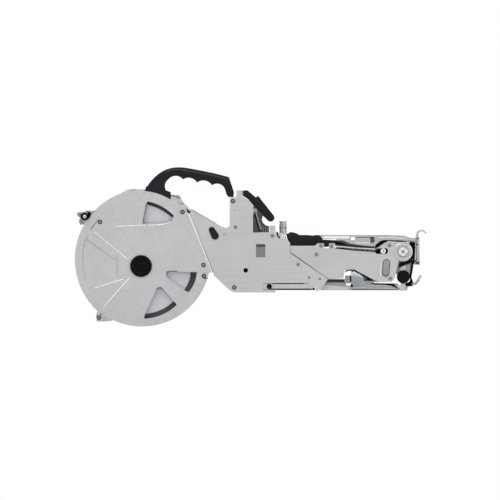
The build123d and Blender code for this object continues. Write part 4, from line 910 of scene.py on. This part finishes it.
# ---- tape guide and rail
onGuide = (-6.5, -6.3)
onRail = (-3.72, -3.5)
dress({
    # painted shadow in the gap between the guide and the housing
    "guideDeep": dict(
        shapes=[[(-106.5, 73.35), (-103.5, 74.55), (-88.5, 71.85), (-78.75, 67.35), (-93.0, 67.95)]],
        depths=(-6.6, -6.4), body="tape_guide"),
    "guideShades": dict(
        shapes=[
            [(-120.75, 75.75), (-87.9, 75.3), (-77.55, 70.5), (-67.2, 68.85), (-42.6, 65.25), (-42.6, 63.75),
             (-67.5, 64.35), (-77.55, 65.4), (-93.0, 67.65), (-120.75, 70.35)],
            ribbon(0.9, (-69.9, 79.8), (-41.4, 79.8)),
            [(-48.0, 79.8), (-41.25, 79.8), (-41.25, 73.95), (-42.9, 71.25), (-47.1, 71.25)],
            ribbon(0.5, (-37.05, 81.9), (-18.0, 82.35), (7.5, 81.3))],
        depths=onGuide, finish="shade", body="tape_guide"),
    "guideLights": dict(
        shapes=[
            ribbon(1.0, (-69.9, 71.4), (-48.3, 71.4)),
            ribbon(1.2, (-126.0, 79.05), (-79.5, 78.45)),
            ribbon(1.1, (-35.25, 79.35), (-15.0, 79.8), (6.0, 78.15))],
        depths=onGuide, finish="gleam", body="tape_guide"),
    # a painted highlight along the rail's edge
    "railEdge": dict(
        shapes=[ribbon(1.1, (-100.8, 66.3), (-75.0, 64.35), (-41.25, 61.8))],
        depths=onRail, finish="gleam"),
    # painted shadow in the gap under the rail edge
    "railGap": dict(
        shapes=[[(-100.8, 64.2), (-90.0, 63.45), (-74.25, 61.65), (-41.1, 60.15), (-41.1, 59.4),
            (-73.5, 59.85), (-91.5, 60.75), (-100.8, 61.8)]], depths=onRail),
    "guideKnee": dict(
        shapes=[
            [(-41.1, 63.9), (-39.6, 68.55), (-32.4, 74.4), (-22.5, 76.05), (-23.1, 73.95), (-37.5, 64.65)],
            ribbon(1.5, (-28.5, 74.85), (-15.0, 74.7), (0.9, 73.65))], depths=onGuide, body="tape_guide"),
    "guideNose": dict(
        shapes=[[(0.75, 81.15), (9.0, 80.25), (18.0, 78.3), (21.9, 76.35), (21.3, 71.55), (14.1, 71.55),
            (6.0, 73.05), (1.2, 74.55)]], depths=(-6.3, 5.0), finish="cast", body="tape_guide", edge=0.3),
})
print("tape guide and rail dressed")


# ---- idler, sprocket hub and oblong cover
hubLevel = -12.75
hubLobe = dict(radius=2.4, height=0.3, chamfer=0.5, socket=0.5, deep=0.2, sides=20)
lobeRing = dict(radius=4.3, turns=(100, 195, 275, 10))
lobeSpots = [(sprocketCentre[0] + lobeRing["radius"] * math.cos(math.radians(turn)),
              sprocketCentre[1] + lobeRing["radius"] * math.sin(math.radians(turn)))
             for turn in lobeRing["turns"]]
coverPlaces = [(-23.55, 41.55), (-24.3, 26.55)]
coverScrew = dict(radius=1.7, height=0.3, chamfer=0.25, socket=0.8, deep=0.4, sides=6)
# a black disc in each socket: painted shade
coverSocketShade = dict(radius=0.8, height=0.1, chamfer=0.05, socket=0.2, deep=0.1, sides=6)
dress({
    # painted shade in the slots round the idler
    "idlerSlot": dict(
        shapes=[
            [(-41.4, 58.5), (-37.5, 61.35), (-33.6, 62.85), (-30.6, 63.75), (-32.1, 59.25), (-32.1, 55.95),
             (-37.95, 55.35)],
            [(-24.15, 64.05), (-21.6, 61.95), (-21.0, 59.25), (-21.9, 56.55), (-24.15, 55.05),
             (-25.65, 55.65), (-24.0, 59.25), (-25.5, 62.85)]], depths=(-9.05, -8.6)),
    "idlerEye": dict(
        profile=[(0.0, -9.9), (0.9, -9.9), (1.1, -9.98), (2.9, -9.98), (3.2, -9.9), (3.2, -9.7), (0.0, -9.7)],
        centre=(-28.05, 59.25), finish="gleam"),
    "idlerDot": dict(head=plugDot, places=[(-27.9, 58.95)], level=-9.97),
    # bright lobes in the gleam metal: painted highlights on the hub
    "hubLobes": dict(head=hubLobe, places=lobeSpots, level=hubLevel, finish="gleam", body="sprocket"),
    "hubCentre": dict(
        profile=[(0.0, -13.2), (1.5, -13.2), (1.9, -12.9), (1.9, hubLevel), (0.0, hubLevel)],
        centre=sprocketCentre, finish="seam", body="sprocket", steps=32),
    "hubRing": dict(
        profile=[(7.7, -12.9), (7.1, -13.0), (7.1, hubLevel), (7.7, hubLevel), (7.7, -12.9)],
        centre=sprocketCentre, finish="cast", body="sprocket", steps=48),
    "coverScrews": dict(head=coverScrew, places=coverPlaces, level=-10.0, finish="steel"),
    "coverSockets": dict(head=coverSocketShade, places=coverPlaces, level=-10.2),
    # a painted shadow outline round the cover, and a painted highlight on the plate edge beside it
    "coverRim": dict(
        shapes=[ribbon(1.1, (-28.5, 42.15), (-26.7, 45.15), (-23.4, 46.65), (-20.1, 45.45), (-18.45, 42.15),
            (-18.9, 33.75), (-19.65, 25.65), (-21.9, 22.35), (-25.2, 21.75), (-28.2, 23.25), (-29.4, 26.55),
            (-28.8, 35.25), (-28.5, 42.15))], depths=(-10.08, -9.6), finish="shade"),
    "coverEdge": dict(
        shapes=[ribbon(1.1, (-30.6, 44.25), (-31.5, 33.75), (-32.4, 21.75))],
        depths=(-9.12, -8.95), finish="gleam"),
})
print("idler, hub and cover dressed")


# ---- front latch and lower front hook
latchDot = dict(radius=1.2, height=0.1, chamfer=0.1, socket=0.6, deep=0.1, sides=16)
dress({
    "latchDots": dict(
        head=latchDot, places=[(24.15, 78.15), (23.1, 69.15), (21.3, 46.8), (23.1, 41.85)], level=-3.0,
        body="front_latch"),
    "latchShades": dict(
        shapes=[
            ribbon(0.7, (21.75, 77.55), (21.3, 44.25)),
            ribbon(1.1, (18.9, 46.35), (21.6, 42.15), (25.2, 41.85)),
            ribbon(0.8, (17.4, 78.45), (24.9, 77.85))],
        depths=(-3.12, -2.9), finish="shade", body="front_latch"),
    "hookBlade": dict(
        shapes=[ribbon(4.6, (3.75, 5.85), (13.2, 8.85), (20.4, 10.95), (24.0, 14.85), (27.6, 21.45))],
        depths=(0.6, 5.0), finish="steel", body="lock_slide", edge=0.5),
})
print("latch and hook dressed")


# ---- air cylinder and fitting, with painted shadow in the gaps round the head and painted light and shade bands on the barrel
onHead = (-7.9, -7.6)
onBarrel = (-8.4, -8.0)
dress({
    "headSeal": dict(
        shapes=[ribbon(1.7, (-85.35, 27.45), (-83.4, 29.55), (-78.0, 30.9), (-72.0, 30.75),
            (-67.5, 28.65))], depths=(-9.05, -8.3), edge=0.1),
    "farWeb": dict(
        shapes=[[(-117.0, 12.75), (-84.9, 12.45), (-83.1, 7.65), (-76.5, 6.75), (-76.5, 0.45),
            (-123.0, 0.45)]], depths=(7.9, 8.3), finish="front"),
    "fittingCollar": dict(
        shapes=[[(-85.2, 21.75), (-83.4, 22.65), (-77.4, 22.65), (-77.4, 12.15), (-84.6, 12.75)]],
        depths=(-7.4, -2.4), finish="cast", edge=0.3),
    "fittingMarks": dict(
        shapes=[
            ribbon(0.8, (-81.3, 21.45), (-81.3, 13.35)),
            ribbon(0.6, (-84.0, 21.45), (-84.0, 13.35)),
            ribbon(1.0, (-85.65, 20.85), (-83.7, 20.85))], depths=(-7.5, -7.3), finish="shade"),
    "headTop": dict(
        shapes=[[(-77.4, 21.45), (-76.2, 26.25), (-72.6, 28.65), (-66.75, 27.15), (-61.5, 23.55),
            (-57.9, 19.95), (-60.6, 18.45), (-66.6, 20.85)]], depths=onHead, finish="front", edge=0.15),
    "headCollar": dict(
        shapes=[ribbon(2.2, (-77.4, 22.05), (-77.1, 13.65)), ribbon(2.2, (-76.8, 9.15), (-75.6, 5.85))],
        depths=(-7.95, -7.6), edge=0.1),
    "barrelLight": dict(shapes=[ribbon(1.4, (-73.5, 3.9), (-9.0, 3.6))], depths=onBarrel, finish="front"),
    "barrelFoot": dict(shapes=[ribbon(0.8, (-73.5, 1.5), (-6.0, 1.2))], depths=onBarrel, finish="shade"),
    "headPocket": dict(
        shapes=[[(-61.2, 25.05), (-56.85, 23.85), (-48.15, 19.65), (-41.4, 15.45), (-56.85, 15.0),
            (-52.5, 17.25), (-55.05, 20.55)]], depths=(-7.82, -7.6)),
    "headShade": dict(
        shapes=[ribbon(1.3, (-85.2, 28.35), (-80.1, 30.3), (-71.4, 29.7), (-64.2, 25.8), (-54.0, 19.35),
            (-45.0, 14.85))], depths=(-8.6, -7.7)),
    "barrelShades": dict(
        shapes=[
            ribbon(1.2, (-45.9, 10.65), (-15.6, 10.05)),
            [(-26.1, 9.45), (-12.0, 9.15), (-6.6, 4.35), (-8.4, 3.45), (-15.6, 7.05)],
            ribbon(1.6, (-75.0, 5.25), (-74.4, 8.85))], depths=(-8.5, -8.0)),
})
print("air cylinder dressed")


# ---- exit chute
chuteDepths = (-2.2, 0.4)  # between the lever pins and the front hook
dress({
    "chuteLip": dict(
        shapes=[[(16.35, 42.75), (17.7, 41.85), (15.75, 28.35), (14.1, 19.65), (16.8, 11.85), (14.4, 11.25),
            (11.7, 19.65), (12.45, 28.35), (13.8, 38.25)]], depths=chuteDepths, edge=0.2),
    "chuteFoot": dict(
        shapes=[[(5.1, 10.95), (10.8, 13.05), (14.1, 20.25), (16.2, 13.95), (15.6, 10.95)]],
        depths=chuteDepths, edge=0.2),
    "chuteToe": dict(
        shapes=[[(3.3, 6.75), (4.2, 10.65), (10.8, 13.05), (15.6, 13.05), (15.3, 10.35), (9.0, 8.55)]],
        depths=(0.25, 0.65)),
    "chuteTop": dict(
        shapes=[[(10.05, 70.95), (14.1, 73.35), (19.95, 71.25), (19.95, 63.75), (19.5, 48.75),
            (17.4, 39.75), (15.3, 42.15), (17.1, 51.75), (16.5, 60.75), (13.8, 66.75)]],
        depths=(-7.7, -6.5), edge=0.3),
    "chuteSkin": dict(
        shapes=[[(4.2, 37.65), (13.8, 41.25), (12.6, 28.35), (11.7, 20.55), (9.45, 27.45)]],
        depths=(7.0, 7.9), finish="front"),
})
print("exit chute dressed")


# ---- the rim door without the web that fills the corner beside its lug
lugCorner = dict(
    outline=[(-465.6, -23.25), (-460.65, -27.15), (-456.15, -31.95), (-457.5, -35.55), (-458.7, -39.75),
        (-468.0, -39.75)], depths=(-12.0, 12.0))
cutterShape = bmesh.new()
pushedThrough(cutterShape, **lugCorner)
bmesh.ops.recalc_face_normals(cutterShape, faces=cutterShape.faces)
cutter = linked("doorCutter", plainMesh(cutterShape, "doorCutter"))
doorHolder = linked("rimDoorPanel", plainMesh(weldedShape("rim_door"), "rimDoorPanel"))
lugCut = doorHolder.modifiers.new("lugCorner", "BOOLEAN")
lugCut.object = cutter
lugCut.operation = "DIFFERENCE"
lugCut.solver = "EXACT"
doorMesh = evaluatedMesh(doorHolder, "rimDoorPanel")
bpy.data.objects.remove(cutter, do_unlink=True)
placed("rimDoorPanel", doorMesh, "disc", "rim_door", ("rim_door",))
print("rim door trimmed")
